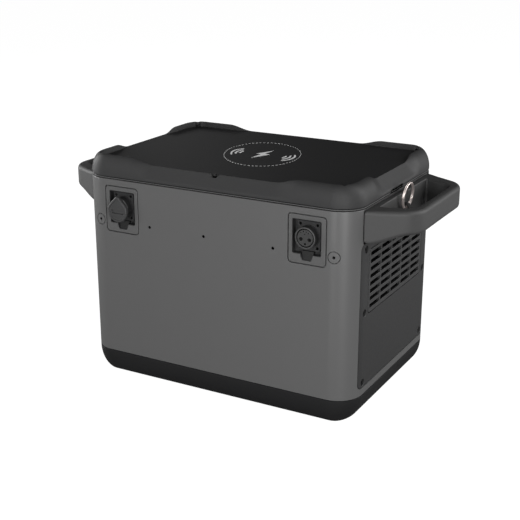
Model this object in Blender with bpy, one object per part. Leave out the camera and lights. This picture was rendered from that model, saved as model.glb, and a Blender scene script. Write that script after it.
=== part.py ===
"""Portable power station with two carry handles, strap rings, power sockets,
vented side panels and a wireless charging lid.

Frame: origin on the ground at the centre of the footprint, +Z up, +X towards
the right-hand handle, -Y towards the socket face, +Y towards the control face.
Lengths are millimetres; MM turns them into metres when a mesh is made.
Cutting shapes run past the surfaces they open by an arbitrary few millimetres.
"""
import bpy
import bmesh
from math import sin, cos, pi, radians, sqrt, hypot, atan2, tan, acos
from mathutils import Vector

MM = 0.001

# ---------------------------------------------------------------- shared dimensions
HALF_X = 165.3            # body half width
HALF_Y = 111.8            # body half depth
CORNER_R = 28.5           # plan corner radius of the body
CORNER_SEG = 5            # segments per plan corner
CORNER_X = HALF_X - CORNER_R      # centre of the plan corner arcs
CORNER_Y = HALF_Y - CORNER_R
GAP = 0.3                 # clearance between neighbouring pieces
SHARP_ANGLE = 32          # degrees; steeper edges are shaded sharp

SOCKET_FACE = -HALF_Y     # y of the face with the power sockets
CONTROL_FACE = HALF_Y     # y of the face with the controls

SHELL_Z0, SHELL_Z1 = 31.6, 234.5
SHELL_WALL = 5.0
LID_Z0 = 237.1

SIDES = (("right", 1), ("left", -1))
SIGN_PAIRS = ((-1, -1), (-1, 1), (1, -1), (1, 1))
QUADRANTS = ((1, 1), (-1, 1), (-1, -1), (1, -1))    # anticlockwise from +X +Y


# ---------------------------------------------------------------- outlines
def clamp01(value):
    return max(0.0, min(1.0, value))


def smooth(start, end, value):
    t = clamp01((value - start) / (end - start))
    return t * t * (3 - 2 * t)


def lerp(start, end, t):
    return start + (end - start) * t


def quarter_turn(quadrant, segments):
    """Unit directions sweeping one quadrant anticlockwise."""
    angles = [radians(90.0 * quadrant + 90.0 * i / segments) for i in range(segments + 1)]
    return [(cos(angle), sin(angle)) for angle in angles]


def rounded_rect(x0, x1, y0, y1, radius, segments):
    """Anticlockwise rounded rectangle."""
    centres = ((x1 - radius, y1 - radius), (x0 + radius, y1 - radius),
               (x0 + radius, y0 + radius), (x1 - radius, y0 + radius))
    return [(x + radius * dx, y + radius * dy)
            for quadrant, (x, y) in enumerate(centres)
            for dx, dy in quarter_turn(quadrant, segments)]


def rect_at(centre, size, radius, segments=3, grow=0.0):
    """Rounded rectangle about a centre, moved outwards by grow."""
    return rounded_rect(centre[0] - size[0] / 2 - grow, centre[0] + size[0] / 2 + grow,
                        centre[1] - size[1] / 2 - grow, centre[1] + size[1] / 2 + grow,
                        radius + grow, segments)


def body_outline(inset, segments=CORNER_SEG):
    """The body's plan outline, moved inwards by inset."""
    return rounded_rect(-HALF_X + inset, HALF_X - inset, -HALF_Y + inset, HALF_Y - inset,
                        max(CORNER_R - inset, 2.0), segments)


def circle(centre, radius, segments):
    return [(centre[0] + radius * cos(2 * pi * i / segments),
             centre[1] + radius * sin(2 * pi * i / segments)) for i in range(segments)]


def fillet_polygon(corners, segments):
    """Polygon of (x, y, radius) corners with each corner rounded."""
    points = []
    for i, (x, y, radius) in enumerate(corners):
        corner = Vector((x, y))
        to_last = (Vector(corners[i - 1][:2]) - corner).normalized()
        to_next = (Vector(corners[(i + 1) % len(corners)][:2]) - corner).normalized()
        half_angle = acos(max(-1.0, min(1.0, to_last.dot(to_next)))) / 2
        reach = radius / tan(half_angle)
        start = corner + to_last * reach
        end = corner + to_next * reach
        centre = corner + (to_last + to_next).normalized() * (radius / sin(half_angle))
        angle0 = atan2(start.y - centre.y, start.x - centre.x)
        angle1 = atan2(end.y - centre.y, end.x - centre.x)
        sweep = (angle1 - angle0 + pi) % (2 * pi) - pi
        for k in range(segments + 1):
            angle = angle0 + sweep * k / segments
            points.append((centre.x + radius * cos(angle), centre.y + radius * sin(angle)))
    return points


# ---------------------------------------------------------------- solids
def add_loft(shape, rings, closed=False):
    """Skin between rings of equal length: capped, or closed from the last to the first."""
    loops = [[shape.verts.new(point) for point in ring] for ring in rings]
    count = len(loops[0])
    pairs = list(zip(loops[:-1], loops[1:]))
    if closed:
        pairs.append((loops[-1], loops[0]))
    for lower, upper in pairs:
        for i in range(count):
            j = (i + 1) % count
            shape.faces.new((lower[i], lower[j], upper[j], upper[i]))
    if not closed:
        shape.faces.new(list(reversed(loops[0])))
        shape.faces.new(loops[-1])


def place(axis, point, along):
    """A point of the plane across axis, at a position along it, as x, y, z."""
    first, second = point
    return {"x": (along, first, second),
            "y": (first, along, second),
            "z": (first, second, along)}[axis]


def add_stack(shape, axis, levels, closed=False):
    """Loft through (outline, position along axis) levels."""
    add_loft(shape, [[place(axis, point, along) for point in outline]
                     for outline, along in levels], closed)


def add_prism(shape, outline, axis, start, end):
    add_stack(shape, axis, [(outline, start), (outline, end)])


def add_box(shape, low, high):
    outline = [(low[0], low[1]), (high[0], low[1]), (high[0], high[1]), (low[0], high[1])]
    add_prism(shape, outline, "z", low[2], high[2])


def add_cylinder(shape, axis, centre, radius, start, end, segments):
    add_prism(shape, circle(centre, radius, segments), axis, start, end)


def add_turned(shape, axis, centre, profile, segments, datum=0.0, direction=1):
    """Turned solid: profile is (radius, distance from datum in the given direction)."""
    add_stack(shape, axis, [(circle(centre, radius, segments), datum + direction * distance)
                            for radius, distance in profile])


def add_stepped(shape, front, back, y_front, y_step, y_back):
    """Solid along y that changes from the front to the back outline at y_step."""
    add_stack(shape, "y", [(front, y_front), (front, y_step), (back, y_step), (back, y_back)])


# ---------------------------------------------------------------- objects
def make_object(name, shape, origin=(0.0, 0.0, 0.0)):
    """Turn a millimetre bmesh into an object whose origin is the given point."""
    bmesh.ops.recalc_face_normals(shape, faces=shape.faces)
    for vert in shape.verts:
        vert.co = (vert.co - Vector(origin)) * MM
    mesh = bpy.data.meshes.new(name)
    shape.to_mesh(mesh)
    shape.free()
    piece = bpy.data.objects.new(name, mesh)
    piece.location = Vector(origin) * MM
    bpy.context.scene.collection.objects.link(piece)
    return piece


def make(name, shape, surface, origin=(0.0, 0.0, 0.0)):
    """Visible piece with its material and shading."""
    piece = make_object(name, shape, origin)
    piece.data.materials.append(surface)
    piece.data.shade_smooth()
    piece.data.set_sharp_from_angle(angle=radians(SHARP_ANGLE))
    return piece


def boolean(piece, name, shape, operation="DIFFERENCE"):
    """Combine the piece with a hidden helper object made from shape."""
    helper = make_object(name, shape)
    helper.hide_render = True
    helper.display_type = "WIRE"
    modifier = piece.modifiers.new(name, "BOOLEAN")
    modifier.operation = operation
    modifier.solver = "EXACT"
    modifier.object = helper


# ---------------------------------------------------------------- materials
def material(name, color, roughness, metallic=0.0):
    surface = bpy.data.materials.new(name)
    surface.use_nodes = True
    shader = surface.node_tree.nodes["Principled BSDF"]
    shader.inputs["Base Color"].default_value = (*color, 1.0)
    shader.inputs["Roughness"].default_value = roughness
    shader.inputs["Metallic"].default_value = metallic
    surface.diffuse_color = (*color, 1.0)
    return surface


def grey(level):
    return (level, level, level)


M_SHELL = material("shell_grey", grey(0.108), roughness=0.48)
M_LID = material("lid_grey", grey(0.052), roughness=0.50)
M_BASE = material("base_black", grey(0.020), roughness=0.55)
M_TRIM = material("trim_grey", grey(0.13), roughness=0.5)
M_PLATE = material("plate_black", grey(0.020), roughness=0.62)
M_HANDLE = material("handle_grey", grey(0.085), roughness=0.46)
M_PANEL = material("panel_grey", grey(0.045), roughness=0.5)
M_VENT = material("vent_grey", grey(0.055), roughness=0.5)
M_BEZEL = material("bezel_grey", grey(0.118), roughness=0.48)
M_SOCKET = material("socket_black", grey(0.018), roughness=0.45)
M_INSERT = material("insert_grey", grey(0.05), roughness=0.5)
M_CAP = material("cap_rubber", grey(0.048), roughness=0.65)
M_SCREW = material("screw_black", grey(0.012), roughness=0.4, metallic=0.6)
M_PLUG = material("screw_cover_grey", grey(0.10), roughness=0.48)
M_STEEL = material("ring_steel", (0.62, 0.58, 0.56), roughness=0.22, metallic=1.0)
M_LUG = material("lug_grey", grey(0.05), roughness=0.45, metallic=0.4)
M_RUBBER = material("foot_rubber", grey(0.015), roughness=0.8)
M_FACE = material("face_black", grey(0.018), roughness=0.5)
M_GLASS = material("display_black", (0.006, 0.006, 0.007), roughness=0.12)
M_BUTTON = material("button_grey", grey(0.12), roughness=0.45)
M_OUTLET = material("outlet_black", grey(0.022), roughness=0.4)
M_CELLS = material("cell_blue", (0.03, 0.09, 0.22), roughness=0.35)
M_BRACKET = material("bracket_steel", (0.55, 0.55, 0.56), roughness=0.35, metallic=1.0)
M_BOARD = material("board_green", (0.012, 0.09, 0.04), roughness=0.5)
M_FAN = material("fan_black", grey(0.014), roughness=0.5)
M_COPPER = material("coil_copper", (0.72, 0.32, 0.14), roughness=0.3, metallic=1.0)
M_CABLE = material("cable_red", (0.45, 0.02, 0.02), roughness=0.5)

# ---------------------------------------------------------------- base tray and feet
TRAY_Z0, TRAY_Z1 = 2.2, 31.0
TRAY_FILLET_Y = 14.5      # bottom edge rounding, horizontal, on the -Y and +Y faces
TRAY_FILLET_X = 20.0      # and on the -X and +X sides
TRAY_FILLET_Z = 28.4      # bottom edge rounding, vertical
TRAY_FILLET_SEG = 4
TRAY_WALL = 3.2
TRAY_FLOOR = 3.4
TRAY_INNER_Z = (22.0, 12.0)       # levels of the inner wall above the floor
FOOT_X, FOOT_Y, FOOT_R, FOOT_H = 118.0, 72.0, 12.0, 4.7
FOOT_CHAMFER = 1.2
FEET = (("front_right", 1, -1), ("front_left", -1, -1),
        ("back_right", 1, 1), ("back_left", -1, 1))


def tray_outline(z, inset=0.0):
    """Plan outline of the tray at height z, drawn in by the bottom rounding and inset."""
    drop = clamp01((TRAY_Z0 + TRAY_FILLET_Z - z) / TRAY_FILLET_Z)
    lean = 1 - sqrt(max(0.0, 1 - drop * drop))
    points = []
    for quadrant, (sign_x, sign_y) in enumerate(QUADRANTS):
        for dx, dy in quarter_turn(quadrant, CORNER_SEG):
            radius = CORNER_R - (lerp(TRAY_FILLET_Y, TRAY_FILLET_X, dx * dx) * lean + inset)
            points.append((sign_x * CORNER_X + radius * dx, sign_y * CORNER_Y + radius * dy))
    return points


def build_base_tray():
    levels = []
    for i in range(TRAY_FILLET_SEG + 1):
        z = TRAY_Z0 + TRAY_FILLET_Z * (1 - cos(pi / 2 * i / TRAY_FILLET_SEG))
        levels.append((tray_outline(z), z))
    levels.append((tray_outline(TRAY_Z1), TRAY_Z1))
    for z in (TRAY_Z1,) + TRAY_INNER_Z:
        levels.append((tray_outline(z, TRAY_WALL), z))
    floor_z = TRAY_Z0 + TRAY_FLOOR
    levels.append((tray_outline(floor_z, TRAY_WALL + 1.0), floor_z))
    shape = bmesh.new()
    add_stack(shape, "z", levels)
    tray = make("base_tray", shape, M_BASE)

    shape = bmesh.new()
    for sign_x, sign_y in SIGN_PAIRS:
        add_cylinder(shape, "z", (sign_x * FOOT_X, sign_y * FOOT_Y), FOOT_R + 0.35,
                     0.0, FOOT_H + GAP, 16)
    boolean(tray, "foot_recesses", shape)


def build_feet():
    profile = ((FOOT_R - FOOT_CHAMFER, 0.0), (FOOT_R, FOOT_CHAMFER), (FOOT_R, FOOT_H))
    for name, sign_x, sign_y in FEET:
        shape = bmesh.new()
        add_turned(shape, "z", (sign_x * FOOT_X, sign_y * FOOT_Y), profile, 16)
        make("foot_" + name, shape, M_RUBBER)


# ---------------------------------------------------------------- openings shared with the shell
PANEL_HALF_Y = 91.2       # side panel
PANEL_Z0, PANEL_Z1 = 40.2, 198.0
PANEL_R = 5.0
PANEL_T = 2.7
PANEL_SCREWS = [(y, z) for z in (45.5, 123.0, 191.3) for y in (-82.0, 82.0)]
PANEL_SHANK_HOLE_R = 1.75
WINDOW = (-76, 76, 50, 191)       # y and z limits of the shell window behind a panel

BEZEL_X0, BEZEL_X1 = 91.5, 134.2  # opening for the power socket bezel
BEZEL_Z0, BEZEL_Z1 = 175.4, 227.4
BEZEL_STEP_X0, BEZEL_STEP_X1 = 2.0, 2.9   # how far the back part is inset at each edge
BEZEL_STEP_Z0, BEZEL_STEP_Z1 = 1.4, 2.6
BEZEL_LIP = 2.6           # thickness of the bezel's wide front part
BEZEL_SCREW = (142.4, 187.3)      # x, z of the screw beside each bezel
BEZEL_SCREW_R, BEZEL_SCREW_HEAD = 5.8, 3.7
BRACKET_SCREWS = [(x, 186.8) for x in (-77.0, -8.4, 74.4)]

FACE_LIMITS = (-126.0, 126.0, 62.0, 214.0)    # x and z limits of the control opening
FACE_R = 10.0
FACE_T = 2.7
FACE_RIM = 5.0            # width of the ledge that carries the control panel
FACE_BACK = CONTROL_FACE - FACE_T


def face_outline(inset, radius):
    x0, x1, z0, z1 = FACE_LIMITS
    return rounded_rect(x0 + inset, x1 - inset, z0 + inset, z1 - inset, radius, 4)


def bezel_outlines(sign, inset, front_radius, back_radius):
    """Front and back outlines of the stepped bezel on one side."""
    outlines = []
    for left, right, low, high, radius in (
            (inset, inset, inset, inset, front_radius),
            (BEZEL_STEP_X0 + inset, BEZEL_STEP_X1 + inset,
             BEZEL_STEP_Z0 + inset, BEZEL_STEP_Z1 + inset, back_radius)):
        x0, x1 = sorted((sign * (BEZEL_X0 + left), sign * (BEZEL_X1 - right)))
        outlines.append(rounded_rect(x0, x1, BEZEL_Z0 + low, BEZEL_Z1 - high, radius, 3))
    return outlines


def side_x(y, inset):
    """Distance of the body's curved side from x = 0 at depth y, moved inwards by inset."""
    radius = CORNER_R - inset
    past = abs(y) - CORNER_Y
    if past <= 0:
        return CORNER_X + radius
    return CORNER_X + sqrt(max(0.0, radius * radius - past * past))


def add_side_plate(shape, sign, grow, radius, outer_inset, inner_inset, segments=3):
    """Rounded plate bent to the body's side, lofted through columns across y."""
    half_y = PANEL_HALF_Y + grow
    columns = [-half_y, -CORNER_Y, CORNER_Y, half_y]
    for i in range(1, segments + 1):
        y = half_y - radius * (1 - cos(pi / 2 * i / segments))
        columns += [-y, y]
    rings = []
    for y in sorted(set(round(y, 5) for y in columns)):
        edge = half_y - abs(y)
        cut = 0.0
        if edge < radius:
            cut = radius - sqrt(max(0.0, radius * radius - (radius - edge) ** 2))
        low = PANEL_Z0 - grow + cut
        high = PANEL_Z1 + grow - cut
        outer = sign * side_x(y, outer_inset)
        inner = sign * side_x(y, inner_inset)
        rings.append([(outer, y, low), (outer, y, high), (inner, y, high), (inner, y, low)])
    add_loft(shape, rings)


# ---------------------------------------------------------------- main shell
def add_shell_side_openings(shape, sign):
    """Bezel opening, bezel screw hole, panel window and panel screw holes of one side."""
    face = SOCKET_FACE
    front, back = bezel_outlines(sign, 0.0, 4.0, 3.0)
    add_stepped(shape, front, back, face - 6, face + BEZEL_LIP + GAP, face + 9)
    head_hole_r = BEZEL_SCREW_R + 0.45
    seat = BEZEL_SCREW_HEAD + GAP
    add_turned(shape, "y", (sign * BEZEL_SCREW[0], BEZEL_SCREW[1]),
               ((head_hole_r, -6), (head_hole_r, seat), (2.6, seat), (2.6, 14)), 20, face)
    add_prism(shape, rounded_rect(*WINDOW, 3, 3), "x", sign * 152, sign * 172)
    for centre in PANEL_SCREWS:
        add_cylinder(shape, "x", centre, PANEL_SHANK_HOLE_R, sign * 150, sign * 175, 8)


def build_main_shell():
    outer = body_outline(0.0)
    inner = body_outline(SHELL_WALL)
    shape = bmesh.new()
    add_stack(shape, "z", [(outer, SHELL_Z0), (outer, SHELL_Z1),
                           (inner, SHELL_Z1), (inner, SHELL_Z0)], closed=True)
    shell = make("main_shell", shape, M_SHELL)

    shape = bmesh.new()
    for _, sign in SIDES:
        add_shell_side_openings(shape, sign)
    for centre in BRACKET_SCREWS:
        add_cylinder(shape, "y", centre, 1.65, SOCKET_FACE - 4, SOCKET_FACE + 9, 10)
    add_stepped(shape, face_outline(0.0, FACE_R), face_outline(FACE_RIM, 6.0),
                CONTROL_FACE + 6, FACE_BACK - GAP, CONTROL_FACE - 12)
    boolean(shell, "shell_openings", shape)

    shape = bmesh.new()
    for _, sign in SIDES:
        add_side_plate(shape, sign, 0.5, PANEL_R + 0.5, -3.0, PANEL_T + GAP)
    boolean(shell, "panel_pockets", shape)


# ---------------------------------------------------------------- side panels and vents
VENT_LIMITS = (-74.0, 74.0, 119.5, 189.0)     # y and z limits of the vent insert
VENT_R = 4.0
VENT_CLEARANCE = 0.4
VENT_DEPTHS = (4.2, 0.2)  # inner and outer faces below the body side
SLOT_COLS, SLOT_PITCH_Y, SLOT_LEN = 5, 28.4, 25.0
SLOT_ROWS, SLOT_PITCH_Z, SLOT_H = 8, 8.08, 3.9
SLOT_Z = 124.6            # bottom of the lowest slots
PANEL_SCREW_SEAT = 1.4
# radius, depth below the body side
PANEL_SCREW_PROFILE = ((2.3, 0.3), (2.9, 0.8), (2.9, PANEL_SCREW_SEAT),
                       (1.45, PANEL_SCREW_SEAT), (1.45, 8.0))
PANEL_HOLE_PROFILE = ((3.3, -6.7), (3.3, PANEL_SCREW_SEAT + GAP),
                      (PANEL_SHANK_HOLE_R, PANEL_SCREW_SEAT + GAP), (PANEL_SHANK_HOLE_R, 7.3))


def build_side_panel(side, sign):
    shape = bmesh.new()
    add_side_plate(shape, sign, 0.0, PANEL_R, 0.2, PANEL_T)
    panel = make("side_panel_" + side, shape, M_PANEL)

    y0, y1, z0, z1 = VENT_LIMITS
    shape = bmesh.new()
    add_prism(shape, rounded_rect(y0 - VENT_CLEARANCE, y1 + VENT_CLEARANCE,
                                  z0 - VENT_CLEARANCE, z1 + VENT_CLEARANCE,
                                  VENT_R + VENT_CLEARANCE, 3), "x", sign * 150, sign * 175)
    for centre in PANEL_SCREWS:
        add_turned(shape, "x", centre, PANEL_HOLE_PROFILE, 8, sign * HALF_X, -sign)
    boolean(panel, "panel_openings_" + side, shape)


def build_vent_grille(side, sign):
    inner, outer = (sign * (HALF_X - depth) for depth in VENT_DEPTHS)
    shape = bmesh.new()
    add_prism(shape, rounded_rect(*VENT_LIMITS, VENT_R, 3), "x", inner, outer)
    vent = make("vent_grille_" + side, shape, M_VENT)

    shape = bmesh.new()
    for column in range(SLOT_COLS):
        middle = (column - (SLOT_COLS - 1) / 2) * SLOT_PITCH_Y
        y0, y1 = middle - SLOT_LEN / 2, middle + SLOT_LEN / 2
        for row in range(SLOT_ROWS):
            z0 = SLOT_Z + SLOT_PITCH_Z * row
            z1 = z0 + SLOT_H
            add_prism(shape, [(y0, z0), (y1, z0), (y1, z1), (y0, z1)], "x",
                      sign * 155, sign * 172)
    boolean(vent, "vent_slots_" + side, shape)


def build_panel_screws(side, sign):
    for number, centre in enumerate(PANEL_SCREWS, 1):
        shape = bmesh.new()
        add_turned(shape, "x", centre, PANEL_SCREW_PROFILE, 8, sign * HALF_X, -sign)
        make("panel_screw_%s_%d" % (side, number), shape, M_SCREW)


# ---------------------------------------------------------------- lid
LID_KNEE = 238.6          # the lid starts to lean in here
LID_MID_TOP = 254.0       # rim height at the middle of each side
LID_HIGH_TOP = 259.7      # rim height at the raised corners
RISE_X = (72.0, 102.0)    # where the rim climbs along the -Y and +Y faces
RISE_Y = (38.0, 62.0)     # where it climbs along the -X and +X sides
RISE_STEPS = (0.0, 0.33, 0.67, 1.0)
# rim insets as (inset on the Y faces, extra on the X sides): at mid side, at raised corners
RIM_OUTER = ((6.6, 3.6), (8.0, 3.4))
RIM_INNER = ((7.4, 3.6), (9.2, 3.0))
SHOULDER_SWEEP = 0.985    # share of a full quarter ellipse in the rounded shoulder
SHOULDER_LEVELS = 4
LEDGE_Z, LEDGE_T, LEDGE_WIDTH = 250.3, 2.4, 6
LID_SKIRT = 5.2           # inset of the lid's inner wall at its foot
WELL_INSET, WELL_R = 10.5, 3.2    # round wells near the corners
DRAIN = (-3.0, -(HALF_Y - 8.2))   # x, y of the notch at the -Y edge
DRAIN_R = 2.3
PLATE_Z0, PLATE_Z1 = 250.6, 253.5
TRIM_Z0, TRIM_Z1 = 235.2, 236.4   # visible strip between shell and lid
TRIM_OUT, TRIM_STEP, TRIM_IN = 0.5, 2.3, 4.9      # insets of the strip and its web
COIL_R0, COIL_R1, COIL_Z0, COIL_Z1 = 22.0, 42.0, 247.6, 250.2


def lid_stations():
    """(x, y, normal x, normal y) round the body outline, with extra points on the climbs."""
    climb_x = [RISE_X[0] + (RISE_X[1] - RISE_X[0]) * t for t in RISE_STEPS]
    climb_y = [RISE_Y[0] + (RISE_Y[1] - RISE_Y[0]) * t for t in RISE_STEPS]
    stations = []
    for quadrant, (sign_x, sign_y) in enumerate(QUADRANTS):
        stations += [(sign_x * CORNER_X + CORNER_R * dx, sign_y * CORNER_Y + CORNER_R * dy,
                      dx, dy) for dx, dy in quarter_turn(quadrant, CORNER_SEG)]
        if sign_x == sign_y:
            run = [sign_x * x for x in reversed(climb_x)] + [-sign_x * x for x in climb_x]
            stations += [(x, sign_y * HALF_Y, 0, sign_y) for x in run]
        else:
            run = [sign_y * y for y in reversed(climb_y)] + [-sign_y * y for y in climb_y]
            stations += [(sign_x * HALF_X, y, sign_x, 0) for y in run]
    return stations


def rise_at(x, y):
    """0 where the rim is low, 1 where it is fully raised."""
    return min(smooth(*RISE_X, abs(x)), smooth(*RISE_Y, abs(y)))


def rim_inset(insets, rise, normal_x):
    (middle, middle_extra), (high, high_extra) = insets
    side = normal_x * normal_x
    return lerp(middle + middle_extra * side, high + high_extra * side, rise)


def lid_section(x, y, normal_x):
    """Closed section of the lid rim as (inset, z): a straight lean at mid side, a full
    rounded shoulder at the raised corners."""
    rise = rise_at(x, y)
    top = lerp(LID_MID_TOP, LID_HIGH_TOP, rise)
    outer = rim_inset(RIM_OUTER, rise, normal_x)
    inner = rim_inset(RIM_INNER, rise, normal_x)
    full = 1 - sqrt(1 - SHOULDER_SWEEP * SHOULDER_SWEEP)
    section = [(0.0, LID_Z0), (0.0, LID_KNEE)]
    for i in range(1, SHOULDER_LEVELS + 1):
        t = i / SHOULDER_LEVELS
        curve = (1 - sqrt(1 - (SHOULDER_SWEEP * t) ** 2)) / full
        section.append((outer * lerp(t, curve, rise), lerp(LID_KNEE, top, t)))
    ledge_edge = inner + LEDGE_WIDTH
    ledge_under = LEDGE_Z - LEDGE_T
    return section + [(inner, top), (inner, LEDGE_Z), (ledge_edge, LEDGE_Z),
                      (ledge_edge, ledge_under), (LID_SKIRT, ledge_under - 3.0),
                      (LID_SKIRT, LID_Z0)]


def build_lid_frame():
    sections = [[(x - dx * inset, y - dy * inset, z) for inset, z in lid_section(x, y, dx)]
                for x, y, dx, dy in lid_stations()]
    shape = bmesh.new()
    # each ring runs round the perimeter through one point of every section
    add_loft(shape, list(zip(*sections)), closed=True)
    frame = make("lid_frame", shape, M_LID)

    shape = bmesh.new()
    angle = radians(60)
    for sign_x, sign_y in SIGN_PAIRS:
        centre = (sign_x * (CORNER_X + (CORNER_R - WELL_INSET) * cos(angle)),
                  sign_y * (CORNER_Y + (CORNER_R - WELL_INSET) * sin(angle)))
        add_cylinder(shape, "z", centre, WELL_R, LEDGE_Z + 0.25, 270, 12)
    add_cylinder(shape, "z", DRAIN, DRAIN_R, LEDGE_Z + 0.25, 270, 12)
    boolean(frame, "lid_wells", shape)


def build_top_plate():
    outline = []
    for x, y, dx, dy in lid_stations():
        inset = rim_inset(RIM_INNER, rise_at(x, y), dx) + 0.35
        outline.append((x - dx * inset, y - dy * inset))
    shape = bmesh.new()
    add_prism(shape, outline, "z", PLATE_Z0, PLATE_Z1)
    plate = make("top_plate", shape, M_PLATE)
    shape = bmesh.new()
    add_cylinder(shape, "z", DRAIN, DRAIN_R, PLATE_Z0 + 0.8, 262, 12)
    boolean(plate, "drain_notch", shape)


def build_seam_trim():
    """Strip between shell and lid: a thin lip outside, a taller web behind it."""
    web_z0, web_z1 = SHELL_Z1 + GAP, LID_Z0 - GAP
    section = ((TRIM_OUT, TRIM_Z0), (TRIM_OUT, TRIM_Z1), (TRIM_STEP, TRIM_Z1),
               (TRIM_STEP, web_z1), (TRIM_IN, web_z1), (TRIM_IN, web_z0),
               (TRIM_STEP, web_z0), (TRIM_STEP, TRIM_Z0))
    shape = bmesh.new()
    add_stack(shape, "z", [(body_outline(inset), z) for inset, z in section], closed=True)
    make("seam_trim", shape, M_TRIM)


def build_charge_coil():
    """Flat wireless charging ring under the top plate."""
    inner = circle((0.0, 0.0), COIL_R0, 24)
    outer = circle((0.0, 0.0), COIL_R1, 24)
    shape = bmesh.new()
    add_stack(shape, "z", [(inner, COIL_Z0), (inner, COIL_Z1),
                           (outer, COIL_Z1), (outer, COIL_Z0)], closed=True)
    make("charge_coil", shape, M_COPPER)


# ---------------------------------------------------------------- handles and strap rings
HANDLE_TOP = 232.4
HANDLE_ROOT_X = HALF_X + GAP
HANDLE_IN_X0 = 170.6
# plan corners of the handle at +Y, as x, y, radius: at the body, at the grip
HANDLE_OUTER = ((HANDLE_ROOT_X, 89.5, 2.4), (214.0, 65.5, 28.6))
HANDLE_INNER = ((HANDLE_IN_X0, 65.5, 3.0), (203.2, 52.0, 15.0))
HANDLE_PLAN_SEG, HANDLE_EDGE_SEG = 3, 2
HANDLE_ROOT_Z, HANDLE_GRIP_Z = 198.5, 207.4       # underside at the body and at the grip
LUG_X0, LUG_X1, LUG_HALF_T = HANDLE_IN_X0 + GAP, 177.6, 1.5
LUG_HOLE_R = 2.2
RING_X = 173.6
RING_R, RING_WIRE = 13.2, 1.6     # ring radius to the wire's centre, wire radius
RING_PIVOT_Z = 229.0 - RING_R     # the upright ring's centre is at 229.0
RING_LEAN = 5.0           # degrees the ring leans outwards at rest
RING_SEG, WIRE_SEG = 24, 6


def handle_bottom(x):
    return HANDLE_ROOT_Z + (HANDLE_GRIP_Z - HANDLE_ROOT_Z) * smooth(170.0, 206.0, x)


def handle_plan(root, grip):
    """Filleted four-corner plan outline with two extra points on each straight."""
    corners = ((root[0], -root[1], root[2]), (grip[0], -grip[1], grip[2]), grip, root)
    points = fillet_polygon(corners, HANDLE_PLAN_SEG)
    per_corner = HANDLE_PLAN_SEG + 1
    plan = []
    for corner in range(4):
        arc = points[corner * per_corner:(corner + 1) * per_corner]
        end = points[((corner + 1) % 4) * per_corner]
        plan += arc
        for t in (0.33, 0.67):
            plan.append((lerp(arc[-1][0], end[0], t), lerp(arc[-1][1], end[1], t)))
    return plan


def handle_section(outer, inner, sign):
    """Rounded upright section between matching outer and inner plan points."""
    width = hypot(outer[0] - inner[0], outer[1] - inner[1])
    dx, dy = (inner[0] - outer[0]) / width, (inner[1] - outer[1]) / width
    growth = smooth(HANDLE_ROOT_X + 0.5, HANDLE_ROOT_X + 14.0, outer[0])
    outer_r = lerp(2.4, 4.6, growth)
    inner_r = min(lerp(1.2, 3.8, smooth(171.0, 180.0, inner[0])), width - outer_r - 0.4)
    outer_z, inner_z = handle_bottom(outer[0]), handle_bottom(inner[0])
    # centre across the section, centre z, radius, start angle
    corners = ((outer_r, outer_z + outer_r, outer_r, 270),
               (outer_r, HANDLE_TOP - outer_r, outer_r, 180),
               (width - inner_r, HANDLE_TOP - inner_r, inner_r, 90),
               (width - inner_r, inner_z + inner_r, inner_r, 0))
    section = []
    for across, z, radius, start in corners:
        for i in range(HANDLE_EDGE_SEG + 1):
            angle = radians(start - 90.0 * i / HANDLE_EDGE_SEG)
            reach = across + radius * cos(angle)
            section.append((sign * (outer[0] + dx * reach), outer[1] + dy * reach,
                            z + radius * sin(angle)))
    return section


def build_handle(side, sign):
    sections = [handle_section(outer, inner, sign) for outer, inner in
                zip(handle_plan(*HANDLE_OUTER), handle_plan(*HANDLE_INNER))]
    shape = bmesh.new()
    add_loft(shape, list(zip(*sections)), closed=True)
    make("handle_" + side, shape, M_HANDLE)


def build_strap_lug(side, sign):
    """Arched plate with a hole for the ring."""
    arch = ((LUG_X0, 206.0), (LUG_X1 - 1.0, 206.0), (LUG_X1, 207.0), (LUG_X1, 218.6),
            (LUG_X1 - 1.0, 220.6), (LUG_X1 - 3.3, 221.8), (LUG_X0 + 1.0, 220.6),
            (LUG_X0, 218.6))
    shape = bmesh.new()
    add_prism(shape, [(sign * x, z) for x, z in arch], "y", -LUG_HALF_T, LUG_HALF_T)
    lug = make("strap_lug_" + side, shape, M_LUG)
    shape = bmesh.new()
    add_cylinder(shape, "y", (sign * RING_X, RING_PIVOT_Z), LUG_HOLE_R, -6, 6, 12)
    boolean(lug, "lug_hole_" + side, shape)


def build_strap_ring(side, sign):
    """Round wire ring, its origin on the axis it swings about."""
    lean = radians(RING_LEAN)
    rings = []
    for i in range(RING_SEG):
        angle = 2 * pi * (i + 0.5) / RING_SEG
        ring = []
        for j in range(WIRE_SEG):
            wire_angle = 2 * pi * j / WIRE_SEG
            offset = RING_WIRE * sin(wire_angle)
            radius = RING_R + RING_WIRE * cos(wire_angle)
            height = RING_R + radius * sin(angle)
            ring.append((sign * (RING_X + offset * cos(lean) + height * sin(lean)),
                         radius * cos(angle),
                         RING_PIVOT_Z - offset * sin(lean) + height * cos(lean)))
        rings.append(ring)
    shape = bmesh.new()
    add_loft(shape, rings, closed=True)
    make("strap_ring_" + side, shape, M_STEEL, origin=(sign * RING_X, 0.0, RING_PIVOT_Z))


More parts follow.
